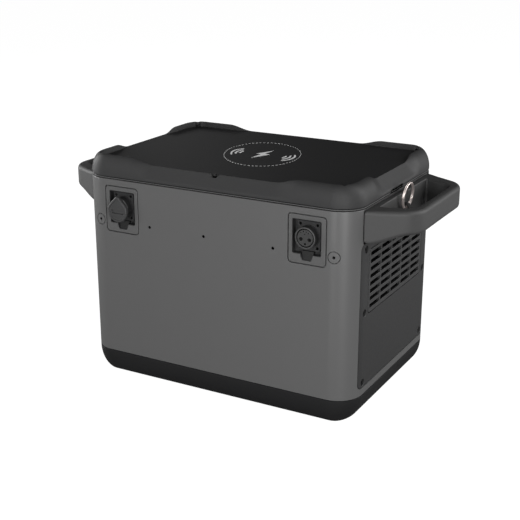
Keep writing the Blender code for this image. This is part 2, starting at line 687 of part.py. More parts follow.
# ---------------------------------------------------------------- power sockets
# bezel pocket on the right: x, z, corner radius; the two middle pairs form its lower notch
PORT_CORNERS = ((96.1, 185.6, 1.4), (105.1, 185.6, 0.8), (107.2, 179.4, 1.4),
                (117.7, 179.4, 1.4), (119.9, 185.6, 0.8), (128.7, 185.6, 1.4),
                (128.7, 222.2, 1.4), (96.1, 222.2, 1.4))
PORT_DEPTH = 6.8          # pocket depth behind the shell face
SOCKET_X, SOCKET_Z = 113.0, 204.6
FLANGE_SIZE, FLANGE_T = (26.0, 31.0), 2.6
FLANGE_HOLES = (19.0, 24.0)       # hole spacing in x and z
FLANGE_SET_BACK = 4.0
BARREL_R, BARREL_BORE_R, BARREL_PROUD = 11.3, 9.7, 5.0
BARREL_BACK_R = 11.6
INSERT_R = 8.75
# x and z from the socket centre, radius
CONTACT_HOLES = ((-4.5, -1.5, 1.55), (4.5, -1.5, 1.55), (0.0, -6.0, 0.95))
CAP_Z, CAP_R, CAP_TIP_Z = 201.9, 12.5, 218.2      # drop-shaped disc of the cap
CAP_TANGENT_RISE = 1.6    # the drop's flanks aim at a point this far above its tip
CAP_FRONT = SOCKET_FACE - 9.2
CAP_BACK = SOCKET_FACE - BARREL_PROUD - GAP


def build_bezel(side, sign):
    face = SOCKET_FACE
    front, back = bezel_outlines(sign, 0.4, 3.7, 2.7)
    shape = bmesh.new()
    add_stepped(shape, front, back, face, face + BEZEL_LIP, face + PORT_DEPTH + 2.4)
    bezel = make("port_bezel_" + side, shape, M_BEZEL)

    corners = PORT_CORNERS
    if sign < 0:
        corners = [(-x, z, radius) for x, z, radius in reversed(PORT_CORNERS)]
    shape = bmesh.new()
    add_prism(shape, fillet_polygon(corners, 2), "y", face - 6, face + PORT_DEPTH)
    boolean(bezel, "bezel_pocket_" + side, shape)
    shape = bmesh.new()
    add_cylinder(shape, "y", (sign * SOCKET_X, SOCKET_Z), 12.0, face - 4, face + 20, 24)
    boolean(bezel, "bezel_bore_" + side, shape)


def build_bezel_screw(side, sign):
    """Screw head that follows the body's curve, with its driver hole."""
    centre = (sign * BEZEL_SCREW[0], BEZEL_SCREW[1])
    shape = bmesh.new()
    add_turned(shape, "y", centre, ((BEZEL_SCREW_R, -3), (BEZEL_SCREW_R, BEZEL_SCREW_HEAD),
                                    (2.2, BEZEL_SCREW_HEAD), (2.2, 11)), 20, SOCKET_FACE)
    screw = make("bezel_screw_" + side, shape, M_PLUG)
    shape = bmesh.new()
    add_prism(shape, body_outline(0.05, 10), "z", 150.0, 225.0)
    boolean(screw, "screw_face_" + side, shape, "INTERSECT")
    shape = bmesh.new()
    add_cylinder(shape, "y", centre, 1.6, SOCKET_FACE - 6, SOCKET_FACE + 3.0, 10)
    boolean(screw, "screw_driver_hole_" + side, shape)


def build_power_socket(side, sign):
    """Rectangular-flanged round socket; the barrel's bore ends in a floor."""
    name = "power_socket_" + side
    centre = (sign * SOCKET_X, SOCKET_Z)
    face = SOCKET_FACE
    shape = bmesh.new()
    add_prism(shape, rect_at(centre, FLANGE_SIZE, 1.2, 2), "y",
              face + FLANGE_SET_BACK, face + FLANGE_SET_BACK + FLANGE_T)
    socket = make(name, shape, M_SOCKET)

    step = FLANGE_SET_BACK + FLANGE_T + 1.0
    shape = bmesh.new()
    add_turned(shape, "y", centre,
               ((BARREL_R - 0.5, -BARREL_PROUD), (BARREL_R, -BARREL_PROUD + 0.6),
                (BARREL_R, step), (BARREL_BACK_R, step), (BARREL_BACK_R, 24)), 24, face)
    boolean(socket, name + "_barrel", shape, "UNION")

    shape = bmesh.new()
    add_cylinder(shape, "y", centre, BARREL_BORE_R, face - 20, face + 6.0, 24)
    for sign_x, sign_z in SIGN_PAIRS:
        hole = (centre[0] + sign_x * FLANGE_HOLES[0] / 2,
                centre[1] + sign_z * FLANGE_HOLES[1] / 2)
        add_cylinder(shape, "y", hole, 1.5, face - 3, face + 12, 6)
    boolean(socket, name + "_bores", shape)


def build_socket_insert():
    """Contact insert of the open socket on the right."""
    shape = bmesh.new()
    add_turned(shape, "y", (SOCKET_X, SOCKET_Z),
               ((INSERT_R - 0.4, -4.7), (INSERT_R, -4.3), (INSERT_R, 5.7)), 24, SOCKET_FACE)
    insert = make("socket_insert", shape, M_INSERT)
    shape = bmesh.new()
    for x, z, radius in CONTACT_HOLES:
        add_cylinder(shape, "y", (SOCKET_X + x, SOCKET_Z + z), radius,
                     SOCKET_FACE - 9, SOCKET_FACE + 2.5, 12)
    boolean(insert, "contact_holes", shape)


def build_port_cap():
    """Push-in rubber cap of the left socket: drop-shaped disc, front recess and plug."""
    middle = -SOCKET_X
    lean = acos(CAP_R / (CAP_TIP_Z - CAP_Z + CAP_TANGENT_RISE))
    drop = []
    for i in range(21):
        angle = pi / 2 + lean + (2 * pi - 2 * lean) * i / 20
        drop.append((middle + CAP_R * cos(angle), CAP_Z + CAP_R * sin(angle)))
    drop += [(middle + 1.7, CAP_TIP_Z - 1.4), (middle, CAP_TIP_Z),
             (middle - 1.7, CAP_TIP_Z - 1.4)]
    front = [(middle + (x - middle) * 0.9, CAP_Z + (z - CAP_Z) * 0.9) for x, z in drop]
    shape = bmesh.new()
    add_stack(shape, "y", [(front, CAP_FRONT), (drop, CAP_FRONT + 1.1), (drop, CAP_BACK)])
    cap = make("port_cap", shape, M_CAP, origin=(middle, SOCKET_FACE - BARREL_PROUD, SOCKET_Z))
    shape = bmesh.new()
    add_cylinder(shape, "y", (middle, SOCKET_Z), BARREL_BORE_R - 0.4, CAP_BACK - 1.0,
                 SOCKET_FACE + 0.5, 24)
    boolean(cap, "cap_plug", shape, "UNION")
    shape = bmesh.new()
    add_box(shape, (middle - 7.6, CAP_FRONT - 2, 199.6), (middle + 7.6, CAP_FRONT + 0.7, 202.6))
    boolean(cap, "cap_recess", shape)


def build_bracket_screws():
    for number, centre in enumerate(BRACKET_SCREWS, 1):
        shape = bmesh.new()
        add_cylinder(shape, "y", centre, 1.3, SOCKET_FACE + 0.5, SOCKET_FACE + 8, 10)
        make("bracket_screw_%d" % number, shape, M_SCREW)


# ---------------------------------------------------------------- control face
# rectangular inserts: (x, z) of the centre, (width, height), corner radius
DISPLAY = ((0.0, 181.0), (76.0, 40.0), 4.0)
USB = ((84.0, 146.0), (60.0, 17.0), 3.0)
AC_OUTLETS = [((x, 98.0), (42.0, 52.0), 6.0) for x in (-40.0, -92.0)]
INSERT_CLEARANCE = 0.35
# name, x, z, radius
BUTTONS = (("power_button", 70.0, 181.0, 9.0),
           ("dc_button", 30.0, 146.0, 6.5),
           ("ac_button", -30.0, 146.0, 6.5))
USB_FIRST_X, USB_PITCH = -21.5, 14.3      # first port from the module centre, port spacing
# width, height, corner radius
USB_PORTS = ((8.3, 3.3, 1.5), (8.3, 3.3, 1.5), (12.3, 5.8, 0.9), (12.3, 5.8, 0.9))
# x0, x1, z0, z1 from the outlet centre
AC_SLOTS = ((-7.3, -5.3, -0.5, 8.0), (5.3, 7.3, 0.3, 7.2))
CAR_X, CAR_Z = 86.0, 99.0
# radius, distance outwards from the control face
CAR_PROFILE = ((10.5, -32), (10.5, 2.8), (17.0, 2.8), (17.0, GAP), (13.8, GAP), (13.8, -36))
COVER_PROFILE = ((16.6, 3.2), (16.6, 7.6), (14.6, 9.2))
HINGE_Y, HINGE_Z = CONTROL_FACE + 5.2, CAR_Z + 20.6
# radius, x from the socket centre
PIN_PROFILE = ((0.95, -8.0), (0.95, -5.6), (1.7, -5.6), (1.7, 5.6), (0.95, 5.6), (0.95, 8.0))


def add_face_cut(shape, outline, depth=12):
    """Cut inwards through the control face."""
    add_prism(shape, outline, "y", CONTROL_FACE - depth, CONTROL_FACE + 6)


def add_insert(shape, rect, front_grow, back_grow, proud, depth):
    """Insert with a wider flange that sits behind the control panel."""
    add_stepped(shape, rect_at(*rect, grow=front_grow), rect_at(*rect, grow=back_grow),
                CONTROL_FACE + proud, FACE_BACK - GAP, FACE_BACK - depth)


def build_control_panel():
    shape = bmesh.new()
    add_prism(shape, face_outline(0.4, FACE_R - 0.4), "y", FACE_BACK, CONTROL_FACE)
    panel = make("control_panel", shape, M_FACE)
    shape = bmesh.new()
    add_face_cut(shape, rect_at(*DISPLAY))
    for _, x, z, radius in BUTTONS:
        add_face_cut(shape, circle((x, z), radius + 0.4, 20))
    add_face_cut(shape, rect_at(*USB, grow=INSERT_CLEARANCE))
    add_face_cut(shape, circle((CAR_X, CAR_Z), 14.2, 24))
    for outlet in AC_OUTLETS:
        add_face_cut(shape, rect_at(*outlet, grow=INSERT_CLEARANCE))
    boolean(panel, "face_openings", shape)


def build_display():
    shape = bmesh.new()
    add_insert(shape, DISPLAY, -INSERT_CLEARANCE, 1.6, proud=-0.3, depth=2.0)
    make("display_window", shape, M_GLASS)


def build_buttons():
    flange = -FACE_T - GAP
    for name, x, z, radius in BUTTONS:
        shape = bmesh.new()
        add_turned(shape, "y", (x, z), ((radius - 0.8, 1.4), (radius, 0.8), (radius, flange),
                                        (radius + 1.4, flange), (radius + 1.4, -FACE_T - 2.0)),
                   20, CONTROL_FACE)
        make(name, shape, M_BUTTON, origin=(x, CONTROL_FACE, z))


def build_usb_module():
    shape = bmesh.new()
    add_insert(shape, USB, 0.0, 1.5, proud=0.3, depth=14.0)
    module = make("usb_module", shape, M_OUTLET)
    x, z = USB[0]
    shape = bmesh.new()
    for i, (width, height, radius) in enumerate(USB_PORTS):
        port = rect_at((x + USB_FIRST_X + USB_PITCH * i, z), (width, height), radius, 2)
        add_prism(shape, port, "y", CONTROL_FACE - 9.5, CONTROL_FACE + 4)
    boolean(module, "usb_ports", shape)


def build_ac_outlets():
    y0, y1 = CONTROL_FACE - 11, CONTROL_FACE + 4
    for number, rect in enumerate(AC_OUTLETS, 1):
        shape = bmesh.new()
        add_insert(shape, rect, 0.0, 1.5, proud=0.6, depth=18.0)
        outlet = make("ac_outlet_%d" % number, shape, M_OUTLET)
        x, z = rect[0]
        shape = bmesh.new()
        for left, right, low, high in AC_SLOTS:
            add_box(shape, (x + left, y0, z + low), (x + right, y1, z + high))
        add_cylinder(shape, "y", (x, z - 8.0), 2.6, y0, y1, 12)
        boolean(outlet, "outlet_slots_%d" % number, shape)


def build_car_socket():
    face = CONTROL_FACE
    shape = bmesh.new()
    add_turned(shape, "y", (CAR_X, CAR_Z), CAR_PROFILE, 24, face)
    socket = make("car_socket", shape, M_OUTLET)
    shape = bmesh.new()
    add_box(shape, (CAR_X - 8.6, face + GAP, CAR_Z + 12.5),
            (CAR_X + 8.6, face + 2.8, HINGE_Z - 2.4))
    boolean(socket, "hinge_plate", shape, "UNION")
    shape = bmesh.new()
    for sign in (-1, 1):
        x0, x1 = sorted((CAR_X + sign * 6.0, CAR_X + sign * 8.4))
        add_box(shape, (x0, face + 0.9, HINGE_Z - 4.6), (x1, HINGE_Y + 2.0, HINGE_Z + 1.8))
    boolean(socket, "hinge_ears", shape, "UNION")
    shape = bmesh.new()
    add_cylinder(shape, "x", (HINGE_Y, HINGE_Z), 1.25, CAR_X - 12, CAR_X + 12, 12)
    boolean(socket, "hinge_bore", shape)


def build_car_socket_cover():
    """Hinged cover, its origin on the hinge axis."""
    shape = bmesh.new()
    add_turned(shape, "y", (CAR_X, CAR_Z), COVER_PROFILE, 20, CONTROL_FACE)
    cover = make("car_socket_cover", shape, M_CAP, origin=(CAR_X, HINGE_Y, HINGE_Z))
    shape = bmesh.new()
    add_turned(shape, "x", (HINGE_Y, HINGE_Z), PIN_PROFILE, 12, CAR_X)
    boolean(cover, "cover_pin", shape, "UNION")
    shape = bmesh.new()
    add_box(shape, (CAR_X - 5.0, CONTROL_FACE + 3.5, CAR_Z + 13.0),
            (CAR_X + 5.0, CONTROL_FACE + 6.5, HINGE_Z - 0.2))
    boolean(cover, "cover_strap", shape, "UNION")


# ---------------------------------------------------------------- inside
PACK_LEVELS = ((3.0, 7.0), (0.0, 10.0), (0.0, 101.0), (3.0, 104.0))     # inset, z
# x, z section of the bracket that bridges the battery
BRACKET_SECTION = (
    (-147.0, 6.8), (-137.6, 6.8), (-137.6, 109.4), (137.6, 109.4), (137.6, 6.8), (147.0, 6.8),
    (147.0, 8.6), (139.4, 8.6), (139.4, 111.2), (-139.4, 111.2), (-139.4, 8.6), (-147.0, 8.6))
CABLE_X, CABLE_R, CABLE_BEND_R, CABLE_BEND_Z = 124.0, 3.0, 12.0, 116.0
BOARD_BASE = 118.6        # the parts start here, inside the board's thickness
FIN_COUNT, FIN_PITCH, FIN_T = 6, 8.0, 2.6
FIN_ROOT_Z, FIN_TOP_Z = 125.0, 152.0


def build_battery_pack():
    levels = [(rounded_rect(-132 + inset, 132 - inset, -85 + inset, 60 - inset,
                            5.0 - inset / 3, 3), z) for inset, z in PACK_LEVELS]
    shape = bmesh.new()
    add_stack(shape, "z", levels)
    make("battery_pack", shape, M_CELLS)


def build_chassis_bracket():
    shape = bmesh.new()
    add_prism(shape, BRACKET_SECTION, "y", -70.0, 52.0)
    bracket = make("chassis_bracket", shape, M_BRACKET)
    shape = bmesh.new()
    for sign in (-1, 1):
        for y in (-60.0, 42.0):
            add_cylinder(shape, "z", (sign * 92.0, y), 3.0, 110.2, 117.6, 8)
    boolean(bracket, "standoffs", shape, "UNION")
    # cable hole in the deck and a window in each upright
    shape = bmesh.new()
    add_cylinder(shape, "z", (CABLE_X, 0.0), 7.0, 100, 120, 12)
    for sign in (-1, 1):
        add_prism(shape, rounded_rect(-45, 27, 30, 90, 8, 2), "x", sign * 130, sign * 145)
    boolean(bracket, "bracket_cutouts", shape)


def fin_comb(start_x):
    """x, z outline of a block with upright fins."""
    comb = [(start_x, BOARD_BASE)]
    for i in range(FIN_COUNT):
        x = start_x + FIN_PITCH * i
        comb += [(x, FIN_TOP_Z), (x + FIN_T, FIN_TOP_Z),
                 (x + FIN_T, FIN_ROOT_Z), (x + FIN_PITCH, FIN_ROOT_Z)]
    end_x = start_x + FIN_PITCH * (FIN_COUNT - 1) + FIN_T
    return comb[:-1] + [(end_x, BOARD_BASE)]


def build_inverter_board():
    shape = bmesh.new()
    add_box(shape, (-102, -68, 117.9), (102, 50, 119.6))
    board = make("inverter_board", shape, M_BOARD)
    shape = bmesh.new()
    for start_x in (-60.0, 10.0):
        add_prism(shape, fin_comb(start_x), "y", -50.0, 20.0)
    for y in (-40.0, 0.0):
        add_cylinder(shape, "z", (78.0, y), 12.0, BOARD_BASE, 146.0, 16)
    add_box(shape, (-96, -30, BOARD_BASE), (-70, 10, 140))
    boolean(board, "board_components", shape, "UNION")


def build_bms_board():
    """Small board on top of the battery with a row of four blocks."""
    shape = bmesh.new()
    add_box(shape, (-80, -40, 104.4), (60, 20, 105.9))
    board = make("bms_board", shape, M_BOARD)
    shape = bmesh.new()
    for i in range(4):
        add_box(shape, (-70 + 30 * i, -30, 105.2), (-52 + 30 * i, -14, 108.4))
    boolean(board, "bms_parts", shape, "UNION")


def build_battery_cable():
    """Round cable from the battery up through the bracket, bent towards -X."""
    bend_x = CABLE_X - CABLE_BEND_R
    path = [Vector((CABLE_X, 0.0, 104.5)), Vector((CABLE_X, 0.0, CABLE_BEND_Z))]
    for i in range(1, 7):
        angle = pi / 2 * i / 6
        path.append(Vector((bend_x + CABLE_BEND_R * cos(angle), 0.0,
                            CABLE_BEND_Z + CABLE_BEND_R * sin(angle))))
    path.append(Vector((104.0, 0.0, CABLE_BEND_Z + CABLE_BEND_R)))
    side = Vector((0, 1, 0))
    rings = []
    for i, point in enumerate(path):
        heading = (path[min(i + 1, len(path) - 1)] - path[max(i - 1, 0)]).normalized()
        normal = side.cross(heading).normalized()
        rings.append([tuple(point + side * CABLE_R * dx + normal * CABLE_R * dy)
                      for dx, dy in circle((0.0, 0.0), 1.0, 10)])
    shape = bmesh.new()
    add_loft(shape, rings)
    make("battery_cable", shape, M_CABLE)


# ---------------------------------------------------------------- cooling fan, inside the right vent
FAN_SIZE, FAN_X0, FAN_X1, FAN_Z = 60.0, 143.0, 158.0, 154.0
SPOKES = 4
BLADES = 7
BLADE_LEVELS = ((147.0, -0.22), (151.5, 0.0), (156.0, 0.22))      # x, twist in radians
# one blade and the hub arc after it: radius, angle in radians
BLADE_POINTS = ((10.0, -0.12), (18.0, 0.0), (26.6, 0.18), (26.6, 0.30), (18.0, 0.16),
                (10.0, 0.10), (10.0, 0.44))


def fan_point(radius, angle):
    return (radius * cos(angle), FAN_Z + radius * sin(angle))


def spoke_gap(index):
    """Opening between two spokes: outer arc one way, inner arc back."""
    start, end = pi / 2 * index, pi / 2 * (index + 1)
    outer = [fan_point(27.0, lerp(start + 0.16, end - 0.16, i / 6)) for i in range(7)]
    inner = [fan_point(11.0, lerp(end - 0.34, start + 0.34, i / 3)) for i in range(4)]
    return outer + inner


def build_fan_frame():
    shape = bmesh.new()
    add_prism(shape, rect_at((0.0, FAN_Z), (FAN_SIZE, FAN_SIZE), 4.0, 2), "x", FAN_X0, FAN_X1)
    frame = make("fan_frame", shape, M_FAN)
    shape = bmesh.new()
    add_cylinder(shape, "x", (0, FAN_Z), 28.0, FAN_X0 + 2.6, FAN_X1 + 4, 32)
    for i in range(SPOKES):
        add_prism(shape, spoke_gap(i), "x", FAN_X0 - 3, FAN_X0 + 2.0)
    boolean(frame, "fan_openings", shape)
    shape = bmesh.new()
    for sign_y, sign_z in SIGN_PAIRS:
        add_cylinder(shape, "x", (sign_y * 25.0, FAN_Z + sign_z * 25.0), 1.8,
                     FAN_X0 - 3, FAN_X1 + 3, 8)
    boolean(frame, "fan_screw_holes", shape)


def build_fan_rotor():
    levels = []
    for x, twist in BLADE_LEVELS:
        outline = [fan_point(radius, 2 * pi * blade / BLADES + twist + angle)
                   for blade in range(BLADES) for radius, angle in BLADE_POINTS]
        levels.append((outline, x))
    shape = bmesh.new()
    add_stack(shape, "x", levels)
    make("fan_rotor", shape, M_FAN, origin=(151.5, 0.0, FAN_Z))


# ---------------------------------------------------------------- build
for old in list(bpy.data.objects):
    bpy.data.objects.remove(old, do_unlink=True)

build_base_tray()
build_feet()
build_main_shell()
build_lid_frame()
build_top_plate()
build_seam_trim()
build_charge_coil()
for side_name, side_sign in SIDES:
    for build_side in (build_side_panel, build_vent_grille, build_panel_screws, build_handle,
                       build_strap_lug, build_strap_ring, build_bezel, build_bezel_screw,
                       build_power_socket):
        build_side(side_name, side_sign)
build_socket_insert()
build_port_cap()
build_bracket_screws()
build_control_panel()
build_display()
build_buttons()
build_usb_module()
build_ac_outlets()
build_car_socket()
build_car_socket_cover()
build_battery_pack()
build_chassis_bracket()
build_inverter_board()
build_bms_board()
build_battery_cable()
build_fan_frame()
build_fan_rotor()
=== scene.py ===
"""Portable power station: a rounded box with a handle on each side.

It stands on z = 0. X runs across the width, with a handle at each end ("right" is +X). The
power socket face is the front, at -Y, and the control face is the back, at +Y.
Dimensions are in millimetres; build_mesh turns them into metres.
"""
from math import acos, atan2, cos, hypot, pi, radians, sin, sqrt, tan

import bmesh
import bpy
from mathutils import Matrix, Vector


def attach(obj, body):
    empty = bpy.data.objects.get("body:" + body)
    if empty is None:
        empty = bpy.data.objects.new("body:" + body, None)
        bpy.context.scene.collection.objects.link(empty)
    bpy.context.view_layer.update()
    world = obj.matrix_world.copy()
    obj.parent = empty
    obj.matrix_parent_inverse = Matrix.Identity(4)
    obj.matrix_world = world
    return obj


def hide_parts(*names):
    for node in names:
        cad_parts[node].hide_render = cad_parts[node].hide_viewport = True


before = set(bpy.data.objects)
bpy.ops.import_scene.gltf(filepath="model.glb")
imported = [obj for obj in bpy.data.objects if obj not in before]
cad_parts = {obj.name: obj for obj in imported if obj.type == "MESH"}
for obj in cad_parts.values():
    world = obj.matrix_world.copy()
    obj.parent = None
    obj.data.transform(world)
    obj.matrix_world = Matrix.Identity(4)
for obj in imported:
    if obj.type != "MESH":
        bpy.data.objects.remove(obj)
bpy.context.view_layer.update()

# ------------------------------------------------------------------ main dimensions (mm)
MM = 0.001
GAP = 0.3                                # clearance between neighbouring parts
HALF_X, HALF_Y, CORNER_R = 165.3, 111.8, 28.5
FRONT, BACK = -HALF_Y, HALF_Y            # y of the socket face and of the control face
CORNER_STEPS = 20                        # segments in each corner of the plan outline
SHELL_Z0, SHELL_Z1, SHELL_WALL = 31.6, 234.5, 5.0
TRIM_Z0, TRIM_Z1 = 235.2, 236.4
LID_Z0 = 237.1
# right port bezel; the left one mirrors it
BEZEL_X0, BEZEL_X1, BEZEL_Z0, BEZEL_Z1 = 91.5, 134.2, 175.4, 227.4
BEZEL_SCREW_X, BEZEL_SCREW_Z, BEZEL_SCREW_R = 142.4, 187.3, 5.8
DOT_X, DOT_Z = (-77.0, -8.4, 74.4), 186.8    # small bracket screws in the socket face
PANEL_HALF_Y, PANEL_Z0, PANEL_Z1, PANEL_T = 91.2, 40.2, 198.0, 2.7
PANEL_SCREWS = [(side_y * 82.0, z) for z in (45.5, 123.0, 191.3) for side_y in (-1, 1)]  # y, z
FACE_X0, FACE_X1, FACE_Z0, FACE_Z1, FACE_T = -126.0, 126.0, 62.0, 214.0, 2.7
FOOT_X, FOOT_Y, FOOT_R, FOOT_H = 118.0, 72.0, 12.0, 4.7
HANDLE_ROOT_HALF_Y, HANDLE_ROOT_Z = 89.5, 198.5

SIDES = (("right", 1), ("left", -1))
CORNERS = [(i, j) for i in (-1, 1) for j in (-1, 1)]
QUADRANTS = ((1, 1), (-1, 1), (-1, -1), (1, -1))     # plan corners, anticlockwise from +X +Y


# ------------------------------------------------------------------ curves and outlines
def clamp01(value):
    return max(0.0, min(1.0, value))


def smooth(start, end, value):
    t = clamp01((value - start) / (end - start))
    return t * t * (3 - 2 * t)


def lerp(start, end, t):
    return start + (end - start) * t


def polar(u, v, radius, degrees):
    angle = radians(degrees)
    return u + radius * cos(angle), v + radius * sin(angle)


def arc(u, v, radius, start, end, steps):
    return [polar(u, v, radius, lerp(start, end, i / steps)) for i in range(steps + 1)]


def circle(u, v, radius, steps, turn=0.0):
    angles = [turn + 2 * pi * i / steps for i in range(steps)]
    return [(u + radius * cos(a), v + radius * sin(a)) for a in angles]


def arc_band(u, v, radius, width, start, end, steps=20):
    """Outline of an arc-shaped stroke with round ends."""
    half = width / 2
    first, last = polar(u, v, radius, start), polar(u, v, radius, end)
    return (arc(u, v, radius + half, start, end, steps)
            + [polar(*last, half, end + turn) for turn in (45, 90, 135)]
            + arc(u, v, radius - half, end, start, steps)
            + [polar(*first, half, start + turn) for turn in (-135, -90, -45)])


def rounded_rect(u0, u1, v0, v1, radius, steps=6):
    centres = ((u1 - radius, v1 - radius), (u0 + radius, v1 - radius),
               (u0 + radius, v0 + radius), (u1 - radius, v0 + radius))
    return [polar(*centre, radius, 90 * quadrant + 90.0 * i / steps)
            for quadrant, centre in enumerate(centres) for i in range(steps + 1)]


def outline(inset, steps=CORNER_STEPS):
    """Plan outline of the body, moved inwards by inset."""
    return rounded_rect(-HALF_X + inset, HALF_X - inset, -HALF_Y + inset, HALF_Y - inset,
                        max(CORNER_R - inset, 2.0), steps)


def filleted(corners, steps):
    """Polygon through (u, v, radius) corners, each one rounded."""
    points = []
    for i, (u, v, radius) in enumerate(corners):
        corner = Vector((u, v))
        before = (Vector(corners[i - 1][:2]) - corner).normalized()
        after = (Vector(corners[(i + 1) % len(corners)][:2]) - corner).normalized()
        half = acos(max(-1.0, min(1.0, before.dot(after)))) / 2
        reach = radius / tan(half)
        start, end = corner + before * reach, corner + after * reach
        centre = corner + (before + after).normalized() * (radius / sin(half))
        angle = atan2(start.y - centre.y, start.x - centre.x)
        last = atan2(end.y - centre.y, end.x - centre.x)
        turn = (last - angle + pi) % (2 * pi) - pi
        for k in range(steps + 1):
            t = angle + turn * k / steps
            points.append((centre.x + radius * cos(t), centre.y + radius * sin(t)))
    return points


def edge_round(radius, steps=3):
    """(inset, depth) along a rounded edge, from the face to the side."""
    angles = [pi / 2 * i / steps for i in range(steps + 1)]
    return [(radius * (1 - sin(a)), radius * (1 - cos(a))) for a in angles]


# A shape is a function that gives an outline grown by the length it is passed.
def round_shape(u, v, radius, steps=24):
    return lambda grow: circle(u, v, radius + grow, steps)


def rect_shape(u0, u1, v0, v1, radius, steps=5):
    return lambda grow: rounded_rect(u0 - grow, u1 + grow, v0 - grow, v1 + grow,
                                     max(radius + grow, 0.05), steps)


def rect_about(u, v, width, height, radius, grow=0.0):
    return rect_shape(u - width / 2 - grow, u + width / 2 + grow,
                      v - height / 2 - grow, v + height / 2 + grow, radius, 6)


# ------------------------------------------------------------------ solids
# A solid is (rings, closed): point rings skinned in order. A closed one joins its last ring to
# its first, any other is capped. u and v are the coordinates across an axis, w lies along it.
def place(axis, u, v, w):
    return {"x": (w, u, v), "y": (u, w, v), "z": (u, v, w)}[axis]


def loft(rings, closed=False):
    return rings, closed


def swept(axis, shape, stations, closed=False):
    """Solid through shape(size) at w for every (size, w) station."""
    return loft([[place(axis, u, v, w) for u, v in shape(size)] for size, w in stations], closed)


def joined(*solids):
    return loft([ring for rings, closed in solids for ring in rings])


def prism(polygon, axis, start, end):
    return swept(axis, lambda size: polygon, ((0, start), (0, end)))


def box(low, high):
    (x0, y0, z0), (x1, y1, z1) = low, high
    return prism([(x0, y0), (x1, y0), (x1, y1), (x0, y1)], "z", z0, z1)


def cylinder(axis, u, v, radius, start, end, steps=24, turn=0.0):
    return prism(circle(u, v, radius, steps, turn), axis, start, end)


def turned(axis, u, v, profile, steps=48, closed=False):
    """Turned solid; its profile is a list of (radius, w)."""
    return swept(axis, lambda radius: circle(u, v, max(radius, 0.01), steps), profile, closed)


def plate(axis, shape, face, back, edge):
    """Plate from face to back with a rounded front edge."""
    sign = 1.0 if back > face else -1.0
    stations = [(-inset, face + sign * depth) for inset, depth in edge_round(edge)]
    return swept(axis, shape, stations + [(0.0, back)])


def mouth(axis, shape, face, back, edge, steps=3, reach=3.0):
    """Cutter for an opening with a rounded rim; it stands out of the face by reach."""
    sign = 1.0 if back > face else -1.0
    stations = [(edge, face - sign * reach)]
    stations += [(inset, face + sign * depth) for inset, depth in edge_round(edge, steps)]
    return swept(axis, shape, stations + [(0.0, back)])


# ------------------------------------------------------------------ meshes and objects
def build_mesh(name, solids):
    work = bmesh.new()
    for rings, closed in solids:
        loops = [[work.verts.new(point) for point in ring] for ring in rings]
        pairs = list(zip(loops, loops[1:]))
        if closed:
            pairs.append((loops[-1], loops[0]))
        count = len(loops[0])
        for lower, upper in pairs:
            for i in range(count):
                j = (i + 1) % count
                work.faces.new((lower[i], lower[j], upper[j], upper[i]))
        if not closed:
            work.faces.new(list(reversed(loops[0])))
            work.faces.new(loops[-1])
    bmesh.ops.recalc_face_normals(work, faces=work.faces)
    bmesh.ops.scale(work, vec=(MM, MM, MM), verts=work.verts)
    mesh = bpy.data.meshes.new(name)
    work.to_mesh(mesh)
    work.free()
    return mesh


def boolean(ob, operation, *solids):
    """Combine an object with solids and bake the result into its mesh."""
    tool = bpy.data.objects.new("tool", build_mesh("tool", solids))
    bpy.context.scene.collection.objects.link(tool)
    modifier = ob.modifiers.new("b", "BOOLEAN")
    modifier.operation = operation
    modifier.solver = "EXACT"
    modifier.object = tool
    graph = bpy.context.evaluated_depsgraph_get()
    graph.update()
    baked = bpy.data.meshes.new_from_object(ob.evaluated_get(graph))
    old_mesh, tool_mesh = ob.data, tool.data
    ob.modifiers.clear()
    ob.data = baked
    bpy.data.meshes.remove(old_mesh)
    bpy.data.objects.remove(tool)
    bpy.data.meshes.remove(tool_mesh)


def cut(ob, *solids):
    boolean(ob, "DIFFERENCE", *solids)


def fuse(ob, *solids):
    boolean(ob, "UNION", *solids)


pieces = []


def piece(name, material, *solids, body="housing", replaces=None, slot=None):
    """New object made of solids; finish_pieces later ties it to its body and hides the CAD node it
    replaces; slot is not used.
    """
    ob = bpy.data.objects.new(name, build_mesh(name, solids))
    bpy.context.scene.collection.objects.link(ob)
    ob.data.materials.append(material)
    pieces.append((ob, body, replaces, slot))
    return ob


def finish_pieces():
    for ob, body, replaces, slot in pieces:
        work = bmesh.new()
        work.from_mesh(ob.data)
        bmesh.ops.remove_doubles(work, verts=work.verts, dist=1e-6)
        bmesh.ops.dissolve_degenerate(work, dist=1e-7, edges=work.edges)
        work.to_mesh(ob.data)
        work.free()
        ob.data.shade_smooth()
        ob.data.set_sharp_from_angle(angle=radians(34))
        normals = ob.modifiers.new("normals", "WEIGHTED_NORMAL")
        normals.mode = "FACE_AREA"
        normals.weight = 50
        normals.keep_sharp = True
        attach(ob, body)
        if replaces:
            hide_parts(replaces)


